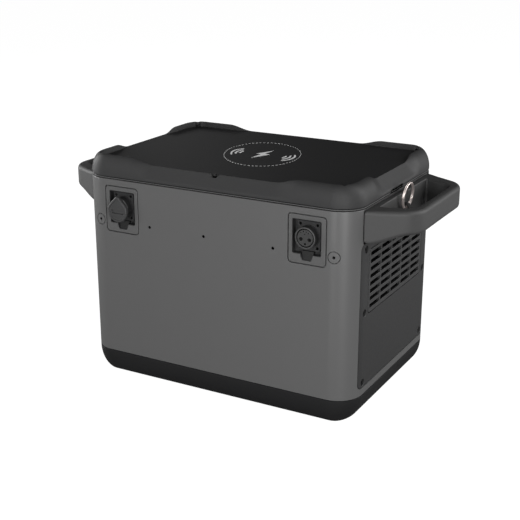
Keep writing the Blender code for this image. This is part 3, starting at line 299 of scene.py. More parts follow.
# ------------------------------------------------------------------ material recipes
class Shader:
    """Node tree of a material or world, with makers for the nodes used here."""

    def __init__(self, owner):
        owner.use_nodes = True
        self.owner = owner
        self.nodes = owner.node_tree.nodes
        self.links = owner.node_tree.links

    def feed(self, node, values):
        """Link or set each input of a node."""
        for key, value in values.items():
            if isinstance(value, bpy.types.NodeSocket):
                self.links.new(value, node.inputs[key])
            else:
                node.inputs[key].default_value = value

    def node(self, kind, values, **settings):
        node = self.nodes.new(kind)
        for key, value in settings.items():
            setattr(node, key, value)
        self.feed(node, values)
        return node

    def surface(self, values):
        self.feed(self.nodes["Principled BSDF"], values)

    def coords(self):
        return self.nodes.new("ShaderNodeTexCoord").outputs["Object"]

    def noise(self, vector, scale, detail=3.0, rough=0.55):
        values = {"Scale": scale, "Detail": detail, "Roughness": rough, "Vector": vector}
        return self.node("ShaderNodeTexNoise", values).outputs["Fac"]

    def span(self, value, to, within=(0.3, 0.7)):
        """Map a value from the range within to the range to."""
        values = {"From Min": within[0], "From Max": within[1],
                  "To Min": to[0], "To Max": to[1], "Value": value}
        return self.node("ShaderNodeMapRange", values).outputs["Result"]

    def math(self, operation, first, second):
        values = {0: first, 1: second}
        return self.node("ShaderNodeMath", values, operation=operation).outputs[0]

    def tint(self, colour, factor):
        values = {0: colour, "Scale": factor}
        return self.node("ShaderNodeVectorMath", values, operation="SCALE").outputs[0]

    def bump(self, height, strength, distance):
        values = {"Strength": strength, "Distance": distance, "Height": height}
        return self.node("ShaderNodeBump", values).outputs["Normal"]


def new_shader(name):
    return Shader(bpy.data.materials.new(name))


def grey(level, blue=None):
    return level, level, blue or level


def moulded(name, colour, rough, grain=1400.0, bump=0.22, mottling=0.022, wear=0.25,
            spec=0.5, metallic=0.0, rough_var=0.025):
    """Moulded plastic or paint: fine spark-eroded grain, slight colour drift, rubbed edges."""
    shader = new_shader(name)
    coords = shader.coords()
    fine = shader.noise(coords, scale=grain, detail=4.0, rough=0.6)
    middle = shader.noise(coords, scale=grain * 0.22)
    broad = shader.noise(coords, scale=22.0)
    convex = shader.nodes.new("ShaderNodeNewGeometry").outputs["Pointiness"]
    edge = shader.span(convex, to=(0.0, 1.0), within=(0.515, 0.56))
    breakup = shader.noise(coords, scale=420.0, detail=5.0)
    breakup = shader.span(breakup, to=(0.0, 1.0), within=(0.42, 0.62))
    edge = shader.math("MULTIPLY", edge, breakup)
    drift = shader.span(broad, to=(1 - mottling, 1 + mottling))
    speck = shader.span(fine, to=(1 - mottling * 0.9, 1 + mottling * 0.9))
    factor = shader.math("MULTIPLY", drift, speck)
    factor = shader.math("ADD", factor, shader.math("MULTIPLY", edge, wear))
    roughness = shader.span(middle, to=(rough - rough_var, rough + rough_var))
    polish = shader.math("MULTIPLY", edge, 0.12 * wear)
    height = shader.math("ADD", fine, shader.math("MULTIPLY", middle, 0.12))
    shader.surface({
        "Base Color": shader.tint(colour, factor),
        "Roughness": shader.math("SUBTRACT", roughness, polish),
        "Metallic": metallic,
        "Specular IOR Level": spec,
        "Normal": shader.bump(height, strength=bump, distance=0.00006)})
    return shader.owner


def metal(name, colour, rough, streak=(1.0, 1.0, 1.0), scratch=0.3, dark=0.15):
    """Bare or plated metal with fine drawn scratches and dull patches."""
    shader = new_shader(name)
    coords = shader.coords()
    mapping = shader.node("ShaderNodeMapping", {"Scale": streak, "Vector": coords})
    lines = shader.noise(mapping.outputs["Vector"], scale=2600.0, detail=2.0)
    patch = shader.noise(coords, scale=90.0, detail=4.0)
    factor = shader.span(patch, to=(1 - dark, 1.0 + dark * 0.3))
    dull = shader.span(patch, to=(rough - 0.05, rough + 0.09))
    shader.surface({
        "Base Color": shader.tint(colour, factor),
        "Roughness": shader.math("ADD", dull, shader.span(lines, to=(-0.03, 0.05))),
        "Metallic": 1.0,
        "Normal": shader.bump(lines, strength=scratch, distance=0.00002)})
    return shader.owner


def ink(name, colour):
    """Screen-printed ink: slightly uneven, semi-matte."""
    shader = new_shader(name)
    coords = shader.coords()
    factor = shader.span(shader.noise(coords, scale=900.0), to=(0.86, 1.05))
    shader.surface({
        "Base Color": shader.tint(colour, factor),
        "Roughness": shader.span(shader.noise(coords, scale=400.0), to=(0.42, 0.6))})
    return shader.owner


def board(name, colour):
    """Solder mask with a brick pattern of slightly different greens."""
    shader = new_shader(name)
    coords = shader.coords()
    red, green, blue = colour
    bricks = shader.node("ShaderNodeTexBrick", {
        "Scale": 60.0,
        "Color1": (red, green, blue, 1),
        "Color2": (red * 1.5, green * 1.4, blue * 1.4, 1),
        "Mortar": (red * 0.5, green * 0.6, blue * 0.5, 1),
        "Mortar Size": 0.012,
        "Vector": coords})
    shader.surface({
        "Base Color": bricks.outputs["Color"],
        "Roughness": shader.span(shader.noise(coords, scale=300.0), to=(0.3, 0.5))})
    return shader.owner


# ------------------------------------------------------------------ materials
MAT_SHELL = moulded("shell_satin", grey(0.098), rough=0.34, bump=0.04, mottling=0.006,
                    wear=0.0, spec=0.9, rough_var=0.006)
MAT_LID = moulded("lid_satin", grey(0.0255, 0.026), rough=0.60, bump=0.1, mottling=0.008,
                  wear=0.0, spec=0.42)
MAT_BASE = moulded("base_satin", grey(0.012, 0.0125), rough=0.60, bump=0.12, wear=0.0, spec=0.20)
MAT_TRIM = moulded("trim_satin", grey(0.072), rough=0.5, bump=0.1, wear=0.0)
MAT_PLATE = moulded("plate_matte", grey(0.0135, 0.014), rough=0.58, grain=1900.0, bump=0.12,
                    mottling=0.01, wear=0.0, spec=0.32)
MAT_HANDLE = moulded("handle_satin", grey(0.047), rough=0.60, bump=0.12, mottling=0.008,
                     wear=0.02)
MAT_PANEL = moulded("panel_satin", grey(0.025, 0.0255), rough=0.48, bump=0.1, mottling=0.01,
                    wear=0.0)
MAT_VENT = moulded("vent_satin", grey(0.038, 0.0385), rough=0.42, wear=0.10)
MAT_BEZEL = moulded("bezel_satin", grey(0.092), rough=0.42, wear=0.10)
MAT_SOCKET = moulded("socket_satin", grey(0.020, 0.0205), rough=0.38, wear=0.3, mottling=0.1)
MAT_COLLAR = moulded("collar_satin", grey(0.047), rough=0.46, wear=0.2)
MAT_TAB = moulded("tab_satin", grey(0.008), rough=0.55, wear=0.2, spec=0.35)
MAT_INSERT = moulded("insert_matte", grey(0.034), rough=0.5, wear=0.1)
MAT_CAP = moulded("cap_rubber", grey(0.036, 0.0365), rough=0.56, grain=1700.0, bump=0.4, wear=0.2)
MAT_COVER = moulded("screw_cover_satin", grey(0.100), rough=0.42, wear=0.12)
MAT_FOOT = moulded("foot_rubber", grey(0.014), rough=0.78, grain=1100.0, bump=0.6, wear=0.3,
                   mottling=0.15)
MAT_FACE = moulded("face_matte", grey(0.016, 0.0165), rough=0.48, wear=0.12)
MAT_BUTTON = moulded("button_satin", grey(0.12), rough=0.42, wear=0.15)
MAT_OUTLET = moulded("outlet_satin", grey(0.022, 0.0225), rough=0.36, wear=0.2)
MAT_SCREW = moulded("screw_black", grey(0.006, 0.0065), rough=0.5, grain=2000.0, wear=0.6,
                    spec=0.3)
# near-black fill put in holes, gaps and recesses: painted shade
MAT_HOLE_SHADE = moulded("hole_painted_shade", grey(0.002), rough=0.9, spec=0.0)
MAT_LUG = moulded("lug_satin", grey(0.050, 0.051), rough=0.38, wear=0.4, metallic=0.3)
MAT_STEEL = metal("ring_steel", (0.86, 0.77, 0.74), rough=0.38, streak=(1.0, 0.2, 1.0),
                  scratch=0.15, dark=0.08)
MAT_ZINC = metal("bracket_zinc", (0.55, 0.56, 0.58), rough=0.36, streak=(0.1, 1.0, 1.0),
                 scratch=0.5, dark=0.3)
MAT_CONTACT = metal("contact_brass", (0.72, 0.52, 0.22), rough=0.3)
MAT_COPPER = metal("coil_copper", (0.74, 0.34, 0.16), rough=0.3, streak=(1.0, 1.0, 0.1),
                   scratch=0.6)
MAT_CELLS = moulded("cell_wrap", (0.03, 0.09, 0.22), rough=0.3, grain=500.0, bump=0.3,
                    mottling=0.12)
MAT_FAN = moulded("fan_black", grey(0.014), rough=0.42)
MAT_CABLE = moulded("cable_red", (0.42, 0.02, 0.02), rough=0.42, mottling=0.1)
MAT_BOARD = board("board_mask", (0.010, 0.085, 0.035))
MAT_INK = ink("white_ink", grey(0.93))
MAT_GLASS = moulded("display_smoked", grey(0.005, 0.006), rough=0.10, grain=300.0, bump=0.02,
                    mottling=0.02, wear=0.0, rough_var=0.02)
MAT_SEGMENT = ink("display_segments", (0.10, 0.13, 0.14))


def screw_head(name, axis, u, v, face, sign, radius, depth, replaces=None, shank=()):
    """Button head with a six-sided socket. sign points into the part; shank is (radius, w)."""
    profile = [(radius * 0.30, face), (radius * 0.62, face + sign * 0.08),
               (radius * 0.88, face + sign * depth * 0.30),
               (radius, face + sign * depth * 0.62), (radius, face + sign * depth)]
    if shank:
        profile += [(shank[0], face + sign * depth), (shank[0], face + sign * shank[1])]
    ob = piece(name, MAT_SCREW, turned(axis, u, v, profile, 28),
               replaces=replaces, slot="screw_black")
    cut(ob, cylinder(axis, u, v, radius * 0.48, face - sign * 2, face + sign * depth * 0.72,
                     steps=6, turn=0.3))


# ------------------------------------------------------------------ base tray and feet
TRAY_Z0, TRAY_Z1, TRAY_WALL = 2.2, 31.0, 3.2
# how far the foot of the tray draws in at the front and at the sides, and over what height
TRAY_LEAN_FRONT, TRAY_LEAN_SIDE, TRAY_LEAN_H = 14.5, 20.0, 28.4
BASE_SCREWS = [(i * 135.0, j * 88.0) for i, j in CORNERS]


def tray_ring(z, inset=0.0):
    t = clamp01((TRAY_Z0 + TRAY_LEAN_H - z) / TRAY_LEAN_H)
    lean = 1 - sqrt(max(0.0, 1 - t * t))
    points = []
    for quadrant, (side_x, side_y) in enumerate(QUADRANTS):
        for i in range(CORNER_STEPS + 1):
            angle = radians(90.0 * quadrant + 90.0 * i / CORNER_STEPS)
            normal_x, normal_y = cos(angle), sin(angle)
            draw = lerp(TRAY_LEAN_FRONT, TRAY_LEAN_SIDE, normal_x * normal_x) * lean + inset
            points.append((side_x * (HALF_X - CORNER_R) + (CORNER_R - draw) * normal_x,
                           side_y * (HALF_Y - CORNER_R) + (CORNER_R - draw) * normal_y, z))
    return points


rings = [tray_ring(TRAY_Z0 + TRAY_LEAN_H * (1 - cos(pi / 2 * i / 18))) for i in range(18)]
rings += [tray_ring(TRAY_Z1 - depth, inset) for inset, depth in reversed(edge_round(0.5))]
rings += [tray_ring(z, TRAY_WALL) for z in (TRAY_Z1, 22.0, 12.0)]
rings.append(tray_ring(TRAY_Z0 + 3.4, TRAY_WALL + 1.0))
tray = piece("base_tray_shell", MAT_BASE, loft(rings), replaces="base_tray", slot="base_black")
# foot seats, the shallow relief of the underside and its screw wells
cut(tray,
    *[mouth("z", round_shape(i * FOOT_X, j * FOOT_Y, FOOT_R + 0.35, 40),
            TRAY_Z0, FOOT_H + GAP, 0.6) for i, j in CORNERS],
    mouth("z", rect_shape(-88, 88, -44, 44, 8.0), TRAY_Z0, TRAY_Z0 + 0.9, 0.5),
    *[mouth("z", round_shape(x, y, 3.6), TRAY_Z0, TRAY_Z0 + 2.2, 0.4) for x, y in BASE_SCREWS])
for k, (x, y) in enumerate(BASE_SCREWS, 1):
    screw_head(f"base_screw_{k}", "z", x, y, TRAY_Z0 + 0.5, 1.0, radius=3.2, depth=1.6)

for end, end_sign in (("front", -1), ("back", 1)):
    for side, sign in SIDES:
        x, y = sign * FOOT_X, end_sign * FOOT_Y
        profile = [(FOOT_R - inset, depth) for inset, depth in edge_round(1.2, 5)]
        foot = piece(f"foot_{end}_{side}_pad", MAT_FOOT,
                     turned("z", x, y, profile + [(FOOT_R, FOOT_H)], 56),
                     replaces=f"foot_{end}_{side}", slot="foot_rubber")
        cut(foot, *[turned("z", x, y, ((r, -1.0), (r, 0.6), (r + 1.0, 0.6), (r + 1.0, -1.0)),
                           40, closed=True) for r in (4.0, 8.0)])      # two grip grooves


# ------------------------------------------------------------------ main shell
def outer_wall(z0, z1, low_edge, high_edge, inset=0.0):
    """(inset, z) stations up a wall; an edge is (radius, steps) of its rounding."""
    stations = [(inset + i, z0 + depth) for i, depth in edge_round(*low_edge)]
    return stations + [(inset + i, z1 - depth) for i, depth in reversed(edge_round(*high_edge))]


def mirrored(sign, x0, x1):
    return (x0, x1) if sign > 0 else (-x1, -x0)


def bezel_pocket(sign):
    wide = rect_shape(*mirrored(sign, BEZEL_X0, BEZEL_X1), BEZEL_Z0, BEZEL_Z1, 4.0, 6)
    slim = rounded_rect(*mirrored(sign, BEZEL_X0 + 2.0, BEZEL_X1 - 2.9),
                        BEZEL_Z0 + 1.4, BEZEL_Z1 - 2.6, 3.0)
    return joined(mouth("y", lambda grow: wide(0.4 + grow), FRONT, FRONT + 2.9, 0.35, 2, reach=4),
                  prism(slim, "y", FRONT + 2.9, FRONT + 9))


def face_pocket():
    floor_y = BACK - FACE_T - GAP
    wide = rect_shape(FACE_X0, FACE_X1, FACE_Z0, FACE_Z1, 10.0, 8)
    slim = rounded_rect(FACE_X0 + 5, FACE_X1 - 5, FACE_Z0 + 5, FACE_Z1 - 5, 6.0, 8)
    return joined(mouth("y", wide, BACK, floor_y, 0.4, 2, reach=4),
                  prism(slim, "y", floor_y, BACK - 12))


def skin_x(y, inset):
    """x of the body's right side at y, moved inwards by inset."""
    radius = CORNER_R - inset
    beyond = abs(y) - (HALF_Y - CORNER_R)
    base = HALF_X - CORNER_R
    return base + (radius if beyond <= 0 else sqrt(max(0.0, radius * radius - beyond * beyond)))


def round_drop(radius, distance):
    """How far a rounded edge lies back at a distance from its end."""
    if distance >= radius:
        return 0.0
    return radius - sqrt(max(0.0, radius * radius - (radius - distance) ** 2))


def side_plate(sign, half_y, z0, z1, radius, outer_inset, inner_inset, edge=0.0):
    """Rounded plate bent to the body's side; edge rounds its outer rim."""
    flat = HALF_Y - CORNER_R
    ys = [half_y - edge * (1 - cos(pi / 2 * i / 4)) for i in range(5)]
    ys += [half_y - radius * (1 - cos(pi / 2 * i / 8)) for i in range(1, 9)]
    ys += [flat, flat + (half_y - radius - flat) * 0.5]
    ys = sorted({round(y, 4) for y in ys})
    rim = edge_round(edge, 4) if edge else [(0.0, 0.0)]
    rings = []
    for y in [-y for y in reversed(ys)] + ys:
        distance = half_y - abs(y)
        corner, drop = round_drop(radius, distance), round_drop(edge, distance)
        low, high = z0 + corner, z1 - corner
        outer = [(sign * skin_x(y, outer_inset + max(drop, depth)), inset)
                 for inset, depth in rim]
        inner_x = sign * skin_x(y, inner_inset)
        rings.append([(x, y, low + inset) for x, inset in reversed(outer)]
                     + [(x, y, high - inset) for x, inset in outer]
                     + [(inner_x, y, high), (inner_x, y, low)])
    return loft(rings)


def handle_seat(sign):
    seat = rect_shape(-HANDLE_ROOT_HALF_Y - 0.55, HANDLE_ROOT_HALF_Y + 0.55,
                      HANDLE_ROOT_Z - 0.4, 240.0, 5.2, 8)
    stations = ((1.5, 176.0), (1.4, 164.9), (0.6, 164.2), (0.1, 163.6), (0.0, 162.4))
    return swept("x", seat, [(grow, sign * x) for grow, x in stations])


profile = outer_wall(SHELL_Z0, SHELL_Z1, low_edge=(0.5, 2), high_edge=(0.6, 3))
profile += [(SHELL_WALL, SHELL_Z1), (SHELL_WALL, SHELL_Z0)]
shell = piece("main_shell_skin", MAT_SHELL, swept("z", outline, profile, closed=True),
              replaces="main_shell", slot="shell_grey")
cutters = []
for side, sign in SIDES:
    cutters += [bezel_pocket(sign),
                turned("y", sign * BEZEL_SCREW_X, BEZEL_SCREW_Z,
                       [(BEZEL_SCREW_R + 0.8, FRONT - 6), (BEZEL_SCREW_R + 0.8, FRONT + 4.0),
                        (2.6, FRONT + 4.0), (2.6, FRONT + 14)], 40),
                # opening behind the side panel
                prism(rounded_rect(-76, 76, 50, 191, 3, 3), "x", sign * 152, sign * 172)]
    cutters += [cylinder("x", y, z, 1.75, sign * 150, sign * 175, 12) for y, z in PANEL_SCREWS]
cutters += [mouth("y", round_shape(x, DOT_Z, 1.6, 20), FRONT, FRONT + 9, 0.2, 2) for x in DOT_X]
cut(shell, *cutters, face_pocket())
cut(shell, *[side_plate(sign, PANEL_HALF_Y + 1.35, PANEL_Z0 - 0.7, PANEL_Z1 + 0.5, radius=6.2,
                        outer_inset=-3.0, inner_inset=PANEL_T + GAP) for side, sign in SIDES])
cut(shell, *[handle_seat(sign) for side, sign in SIDES])

# ------------------------------------------------------------------ side panels and grilles
PANEL_FACE_X = HALF_X - 0.2
VENT_HALF_Y, VENT_Z0, VENT_Z1 = 74.0, 119.5, 189.0
SLOT_COLS, SLOT_PITCH_Y, SLOT_LEN = 5, 28.4, 25.0
SLOT_ROWS, SLOT_PITCH_Z, SLOT_H, SLOT_Z = 8, 8.08, 3.9, 124.6
SLOT_DROP = 3.0                          # how far a slot falls on its way inwards
SLOT_STATIONS = ((0.3, -3.0), (0.3, 0.0), (0.09, 0.09), (0.0, 0.3), (0.0, 8.0))  # grow, depth


def vent_shape(grow, radius, steps=3):
    return rect_shape(-VENT_HALF_Y - grow, VENT_HALF_Y + grow,
                      VENT_Z0 - grow, VENT_Z1 + grow, radius, steps)


def vent_slot(sign, column, row):
    y = (column - (SLOT_COLS - 1) / 2) * SLOT_PITCH_Y
    z = SLOT_Z + SLOT_PITCH_Z * row
    half = SLOT_LEN / 2 + 0.7
    rings, closed = swept("x", rect_shape(y - half, y + half, z - 0.15, z + SLOT_H + 0.15, 0.9, 3),
                          [(grow, sign * (PANEL_FACE_X - depth)) for grow, depth in SLOT_STATIONS])
    rings[-1] = [(x, y, z - SLOT_DROP) for x, y, z in rings[-1]]
    return loft(rings)


for side, sign in SIDES:
    panel = piece(f"side_panel_skin_{side}", MAT_PANEL,
                  side_plate(sign, PANEL_HALF_Y, PANEL_Z0, PANEL_Z1, radius=5.0,
                             outer_inset=0.2, inner_inset=PANEL_T, edge=0.6),
                  replaces=f"side_panel_{side}", slot="panel_grey")
    screw_well = [(radius, sign * x) for radius, x in (
        (4.3, 172), (4.3, PANEL_FACE_X), (3.9, HALF_X - 0.6), (3.9, HALF_X - 2.0),
        (1.75, HALF_X - 2.0), (1.75, 158))]
    cut(panel,
        mouth("x", vent_shape(0.45, 4.8, 6), sign * PANEL_FACE_X, sign * 150, 0.3, 2),
        *[turned("x", y, z, screw_well, 32) for y, z in PANEL_SCREWS])

    vent = piece(f"vent_grille_face_{side}", MAT_VENT,
                 plate("x", vent_shape(-0.45, 3.8, 6), sign * PANEL_FACE_X,
                       sign * (HALF_X - 4.2), 0.4),
                 replaces=f"vent_grille_{side}", slot="vent_grey")
    cut(vent,
        *[vent_slot(sign, column, row) for column in range(SLOT_COLS)
          for row in range(SLOT_ROWS)],
        prism(vent_shape(-2.5, 2.0)(0), "x", sign * (HALF_X - 1.3), sign * (HALF_X - 6.0)))
    # near-black sheet just behind the louvres: painted shade that makes the slots read dark
    piece(f"vent_shade_sheet_{side}", MAT_HOLE_SHADE,
          prism(vent_shape(-3.0, 2.0)(0), "x", sign * (HALF_X - 3.4), sign * (HALF_X - 4.0)))

    for k, (y, z) in enumerate(PANEL_SCREWS, 1):
        screw_head(f"panel_screw_head_{side}_{k}", "x", y, z, sign * (HALF_X - 1.4), -sign,
                   radius=3.6, depth=1.1, replaces=f"panel_screw_{side}_{k}", shank=(1.45, 7.0))

# ------------------------------------------------------------------ lid, plate, trim
# the rim is low in the middle of each side and climbs towards the corners
LID_KNEE, LID_LOW_TOP, LID_HIGH_TOP = 238.6, 254.0, 259.7
RISE_X, RISE_Y = (72.0, 102.0), (38.0, 62.0)     # where it starts and stops climbing
RISE_STEPS, LID_LEVELS = 14, 16
LID_BULGE = 0.985                        # share of a quarter circle in the raised rim's curve
LEDGE_Z, LEDGE_T, LEDGE_W = 250.3, 2.4, 6    # ledge under the top plate
LID_SEAT = 5.2                           # inset of the lid's inner wall
PLATE_Z0, PLATE_Z1 = 250.6, 253.5
WELL_INSET, WELL_R = 10.5, 3.2
WELLS = [(i * (HALF_X - CORNER_R + (CORNER_R - WELL_INSET) * cos(radians(60))),
          j * (HALF_Y - CORNER_R + (CORNER_R - WELL_INSET) * sin(radians(60))))
         for i, j in CORNERS]
FRONT_NOTCH = ((-1.9, 257.0, 0.2), (-1.9, 250.4, 3.1), (4.4, 250.4, 2.4),
               (9.8, 254.7, 0.3), (9.8, 257.0, 0.2))      # x, z, corner radius
# notch across the seam on each side: outline in y, z
SIDE_NOTCH = rounded_rect(-24.0, 10.0, 228.0, 239.4, 2.6, 5)


def lid_stations():
    """(x, y, normal x, normal y) round the body, closer together where the rim climbs."""
    def along(outer, rise, inner):
        climb = [rise[0] + (rise[1] - rise[0]) * i / RISE_STEPS
                 for i in range(RISE_STEPS, -1, -1)]
        half = outer + climb + inner
        return half + [0.0] + [-value for value in reversed(half)]

    xs = along([123.0], RISE_X, [48.0, 24.0])
    ys = along([76.0, 69.0], RISE_Y, [19.0])
    sides = ([(x, HALF_Y, 0, 1) for x in xs], [(-HALF_X, y, -1, 0) for y in ys],
             [(-x, -HALF_Y, 0, -1) for x in xs], [(HALF_X, -y, 1, 0) for y in ys])
    points = []
    for quadrant, (side_x, side_y) in enumerate(QUADRANTS):
        for i in range(CORNER_STEPS + 1):
            angle = radians(90 * quadrant + 90.0 * i / CORNER_STEPS)
            points.append((side_x * (HALF_X - CORNER_R) + CORNER_R * cos(angle),
                           side_y * (HALF_Y - CORNER_R) + CORNER_R * sin(angle),
                           cos(angle), sin(angle)))
        points += sides[quadrant]
    return points


def rise_at(x, y):
    """0 where the rim is low, 1 where it is high."""
    return min(smooth(*RISE_X, abs(x)), smooth(*RISE_Y, abs(y)))


def lid_edges(x, y, normal_x):
    """Height of the rim, and insets of its outer and inner top edges."""
    rise = rise_at(x, y)
    side = normal_x * normal_x
    return (lerp(LID_LOW_TOP, LID_HIGH_TOP, rise),
            lerp(6.6 + 3.6 * side, 8.0 + 3.4 * side, rise),
            lerp(7.4 + 3.6 * side, 9.2 + 3.0 * side, rise))


def lid_section(x, y, normal_x):
    """(inset, z) section through the lid frame."""
    top, outer, inner = lid_edges(x, y, normal_x)
    rise = rise_at(x, y)
    full = 1 - sqrt(1 - LID_BULGE * LID_BULGE)
    section = [(inset, LID_Z0 + depth) for inset, depth in edge_round(0.5, 3)]
    for i in range(LID_LEVELS + 1):
        t = 1 - (1 - i / LID_LEVELS) ** 1.5
        curve = (1 - sqrt(1 - (LID_BULGE * t) ** 2)) / full
        # straight slope with a soft foot, used where the rim is low
        slope = lerp(t * t / 0.24 * 0.5, t - 0.06, smooth(0.0, 0.24, t)) / 0.94
        section.append((outer * lerp(max(slope, 0.0), curve, rise), lerp(LID_KNEE, top, t)))
    edge = min(0.45, (inner - outer) * 0.45)
    for i in range(1, 4):
        angle = pi / 2 * i / 3
        section.append((inner - edge + edge * sin(angle), top - edge * (1 - cos(angle))))
    return section + [(inner, LEDGE_Z), (inner + LEDGE_W, LEDGE_Z),
                      (inner + LEDGE_W, LEDGE_Z - LEDGE_T), (LID_SEAT, LEDGE_Z - LEDGE_T - 3.0),
                      (LID_SEAT, LID_Z0)]


def cut_side_notches(ob, inset):
    for side, sign in SIDES:
        cut(ob, prism(SIDE_NOTCH, "x", sign * (HALF_X - inset), sign * (HALF_X + 5.0)))


LID_STATIONS = lid_stations()
sections = [[(x - normal_x * inset, y - normal_y * inset, z)
             for inset, z in lid_section(x, y, normal_x)]
            for x, y, normal_x, normal_y in LID_STATIONS]
lid = piece("lid_frame_skin", MAT_LID, loft(list(zip(*sections)), closed=True),
            replaces="lid_frame", slot="lid_grey")
cut(lid, *[cylinder("z", x, y, WELL_R, LEDGE_Z + 0.25, 270, 28) for x, y in WELLS])
cut(lid, prism(filleted(FRONT_NOTCH, 8), "y", FRONT - 2.0, FRONT + 9.0))
cut_side_notches(lid, 3.4)


def top_plate_outline(inset):
    points = []
    for x, y, normal_x, normal_y in LID_STATIONS:
        total = lid_edges(x, y, normal_x)[2] + 0.35 + inset
        points.append((x - normal_x * total, y - normal_y * total))
    return points


top_plate = piece("top_plate_skin", MAT_PLATE,
                  swept("z", top_plate_outline, ((0.0, PLATE_Z0), (0.0, PLATE_Z1 - 0.3),
                                                 (0.09, PLATE_Z1 - 0.09), (0.3, PLATE_Z1))),
                  replaces="top_plate", slot="plate_black")
cut(top_plate, cylinder("z", 1.3, FRONT + 8.4, 3.1, PLATE_Z0 - 3, 262, 32))
# near-black sheet on the floor of the front rim well: painted shade
piece("rim_well_shade", MAT_HOLE_SHADE,
      box((-1.6, FRONT + 6.4, LEDGE_Z + 0.03), (8.6, FRONT + 12.5, LEDGE_Z + 0.22)))
for k, (x, y) in enumerate(WELLS, 1):
    screw_head(f"lid_screw_{k}", "z", x, y, PLATE_Z1 + 2.4, -1.0, radius=2.7, depth=1.4)

profile = outer_wall(TRIM_Z0, TRIM_Z1, low_edge=(0.3, 2), high_edge=(0.3, 2), inset=0.5)
profile += [(2.3, TRIM_Z1), (2.3, LID_Z0 - GAP), (4.9, LID_Z0 - GAP), (4.9, SHELL_Z1 + GAP),
            (2.3, SHELL_Z1 + GAP), (2.3, TRIM_Z0)]
trim = piece("seam_trim_strip", MAT_TRIM, swept("z", outline, profile, closed=True),
             replaces="seam_trim", slot="trim_grey")
cut_side_notches(trim, 1.9)

# near-black bands filling the seam gaps below and above the trim: painted shade
for level, inset, z0, z1 in (("lower", 0.75, SHELL_Z1, TRIM_Z0), ("upper", 0.95, TRIM_Z1, LID_Z0)):
    profile = ((inset, z0 + 0.05), (inset, z1 - 0.05), (2.2, z1 - 0.05), (2.2, z0 + 0.05))
    piece(f"seam_shade_band_{level}", MAT_HOLE_SHADE, swept("z", outline, profile, closed=True))

# ------------------------------------------------------------------ printed charging mark
MARK_CENTRE = Vector((-0.75, 3.19))
MARK_LONG = Vector((-0.4129, 0.9108))    # long direction of the oval mark
MARK_STRETCH = 1.359
DASHES, DASH_RING_R, DASH_HALF_W = 62, 42.9, 0.36
WAVE_W = 2.1
# centre of each group of waves, then radius, start and end angle of its arcs
WAVES = (((-18.4, -5.4), ((6.6, 149, 205), (11.5, 138, 216), (16.4, 132, 222))),
         ((21.2, 2.6), ((6.6, -37, 19), (11.5, -48, 30), (16.4, -54, 36))))
BOLT = ((5.4, 15.6), (-6.6, -1.6), (-0.9, -1.4), (-4.4, -17.6), (8.7, 1.4), (2.0, 1.6))


def printed(polygon):
    """Ink on the top plate: the round design is drawn out to the oval mark."""
    points = [Vector(point) for point in polygon]
    return prism([MARK_CENTRE + point + MARK_LONG * (point.dot(MARK_LONG) * (MARK_STRETCH - 1))
                  for point in points], "z", PLATE_Z1 + 0.01, PLATE_Z1 + 0.09)


def dash(k):
    start = 360.0 * k / DASHES
    end = start + 360.0 / DASHES * 0.5
    return printed(arc(0, 0, DASH_RING_R + DASH_HALF_W, start, end, 2)
                   + arc(0, 0, DASH_RING_R - DASH_HALF_W, end, start, 2))


piece("charging_mark_ring", MAT_INK, *[dash(k) for k in range(DASHES)])
piece("charging_mark_waves", MAT_INK,
      *[printed(arc_band(*centre, radius, WAVE_W, start, end))
        for centre, arcs in WAVES for radius, start, end in arcs])
piece("charging_mark_bolt", MAT_INK, printed(BOLT))

# ------------------------------------------------------------------ handles
HANDLE_TOP, HANDLE_GRIP_Z = 232.4, 207.4
HANDLE_SEAT_X, HANDLE_ROOT_X, HANDLE_OUT_X = 163.4, HALF_X + GAP, 214.0
HANDLE_OUT_HALF_Y = 65.5
HANDLE_IN_X0, HANDLE_IN_X1 = 170.6, 203.2
HANDLE_IN_HALF_Y0, HANDLE_IN_HALF_Y1 = 65.5, 52.0
# x, y, radius of the corners at -y; those at +y mirror them
HANDLE_OUTER = ((HANDLE_SEAT_X, -HANDLE_ROOT_HALF_Y, 1.6),
                (HANDLE_ROOT_X, -HANDLE_ROOT_HALF_Y, 2.4),
                (HANDLE_OUT_X, -HANDLE_OUT_HALF_Y, 28.6))
HANDLE_INNER = ((HANDLE_IN_X0, -HANDLE_IN_HALF_Y0, 2.0),
                (HANDLE_IN_X0 + 2.2, -HANDLE_IN_HALF_Y0 + 0.6, 0.8),
                (HANDLE_IN_X1, -HANDLE_IN_HALF_Y1, 15.0))
FILLET_STEPS, STRAIGHT_POINTS, SECTION_STEPS = 12, 9, 6


def handle_bottom(x):
    near = clamp01((HANDLE_SEAT_X + 4.6 - x) / 4.6)
    corner = 4.6 * (1 - sqrt(1 - near * near))
    return HANDLE_ROOT_Z + (HANDLE_GRIP_Z - HANDLE_ROOT_Z) * smooth(170.0, 206.0, x) + corner


def handle_loop(half):
    """Plan loop of the handle, with extra points along each straight."""
    corners = list(half) + [(x, -y, radius) for x, y, radius in reversed(half)]
    points = filleted(corners, FILLET_STEPS)
    block = FILLET_STEPS + 1
    loop = []
    for start in range(0, len(points), block):
        loop += points[start:start + block]
        last, following = loop[-1], points[(start + block) % len(points)]
        for i in range(1, STRAIGHT_POINTS + 1):
            t = i / (STRAIGHT_POINTS + 1)
            loop.append((lerp(last[0], following[0], t), lerp(last[1], following[1], t)))
    return loop


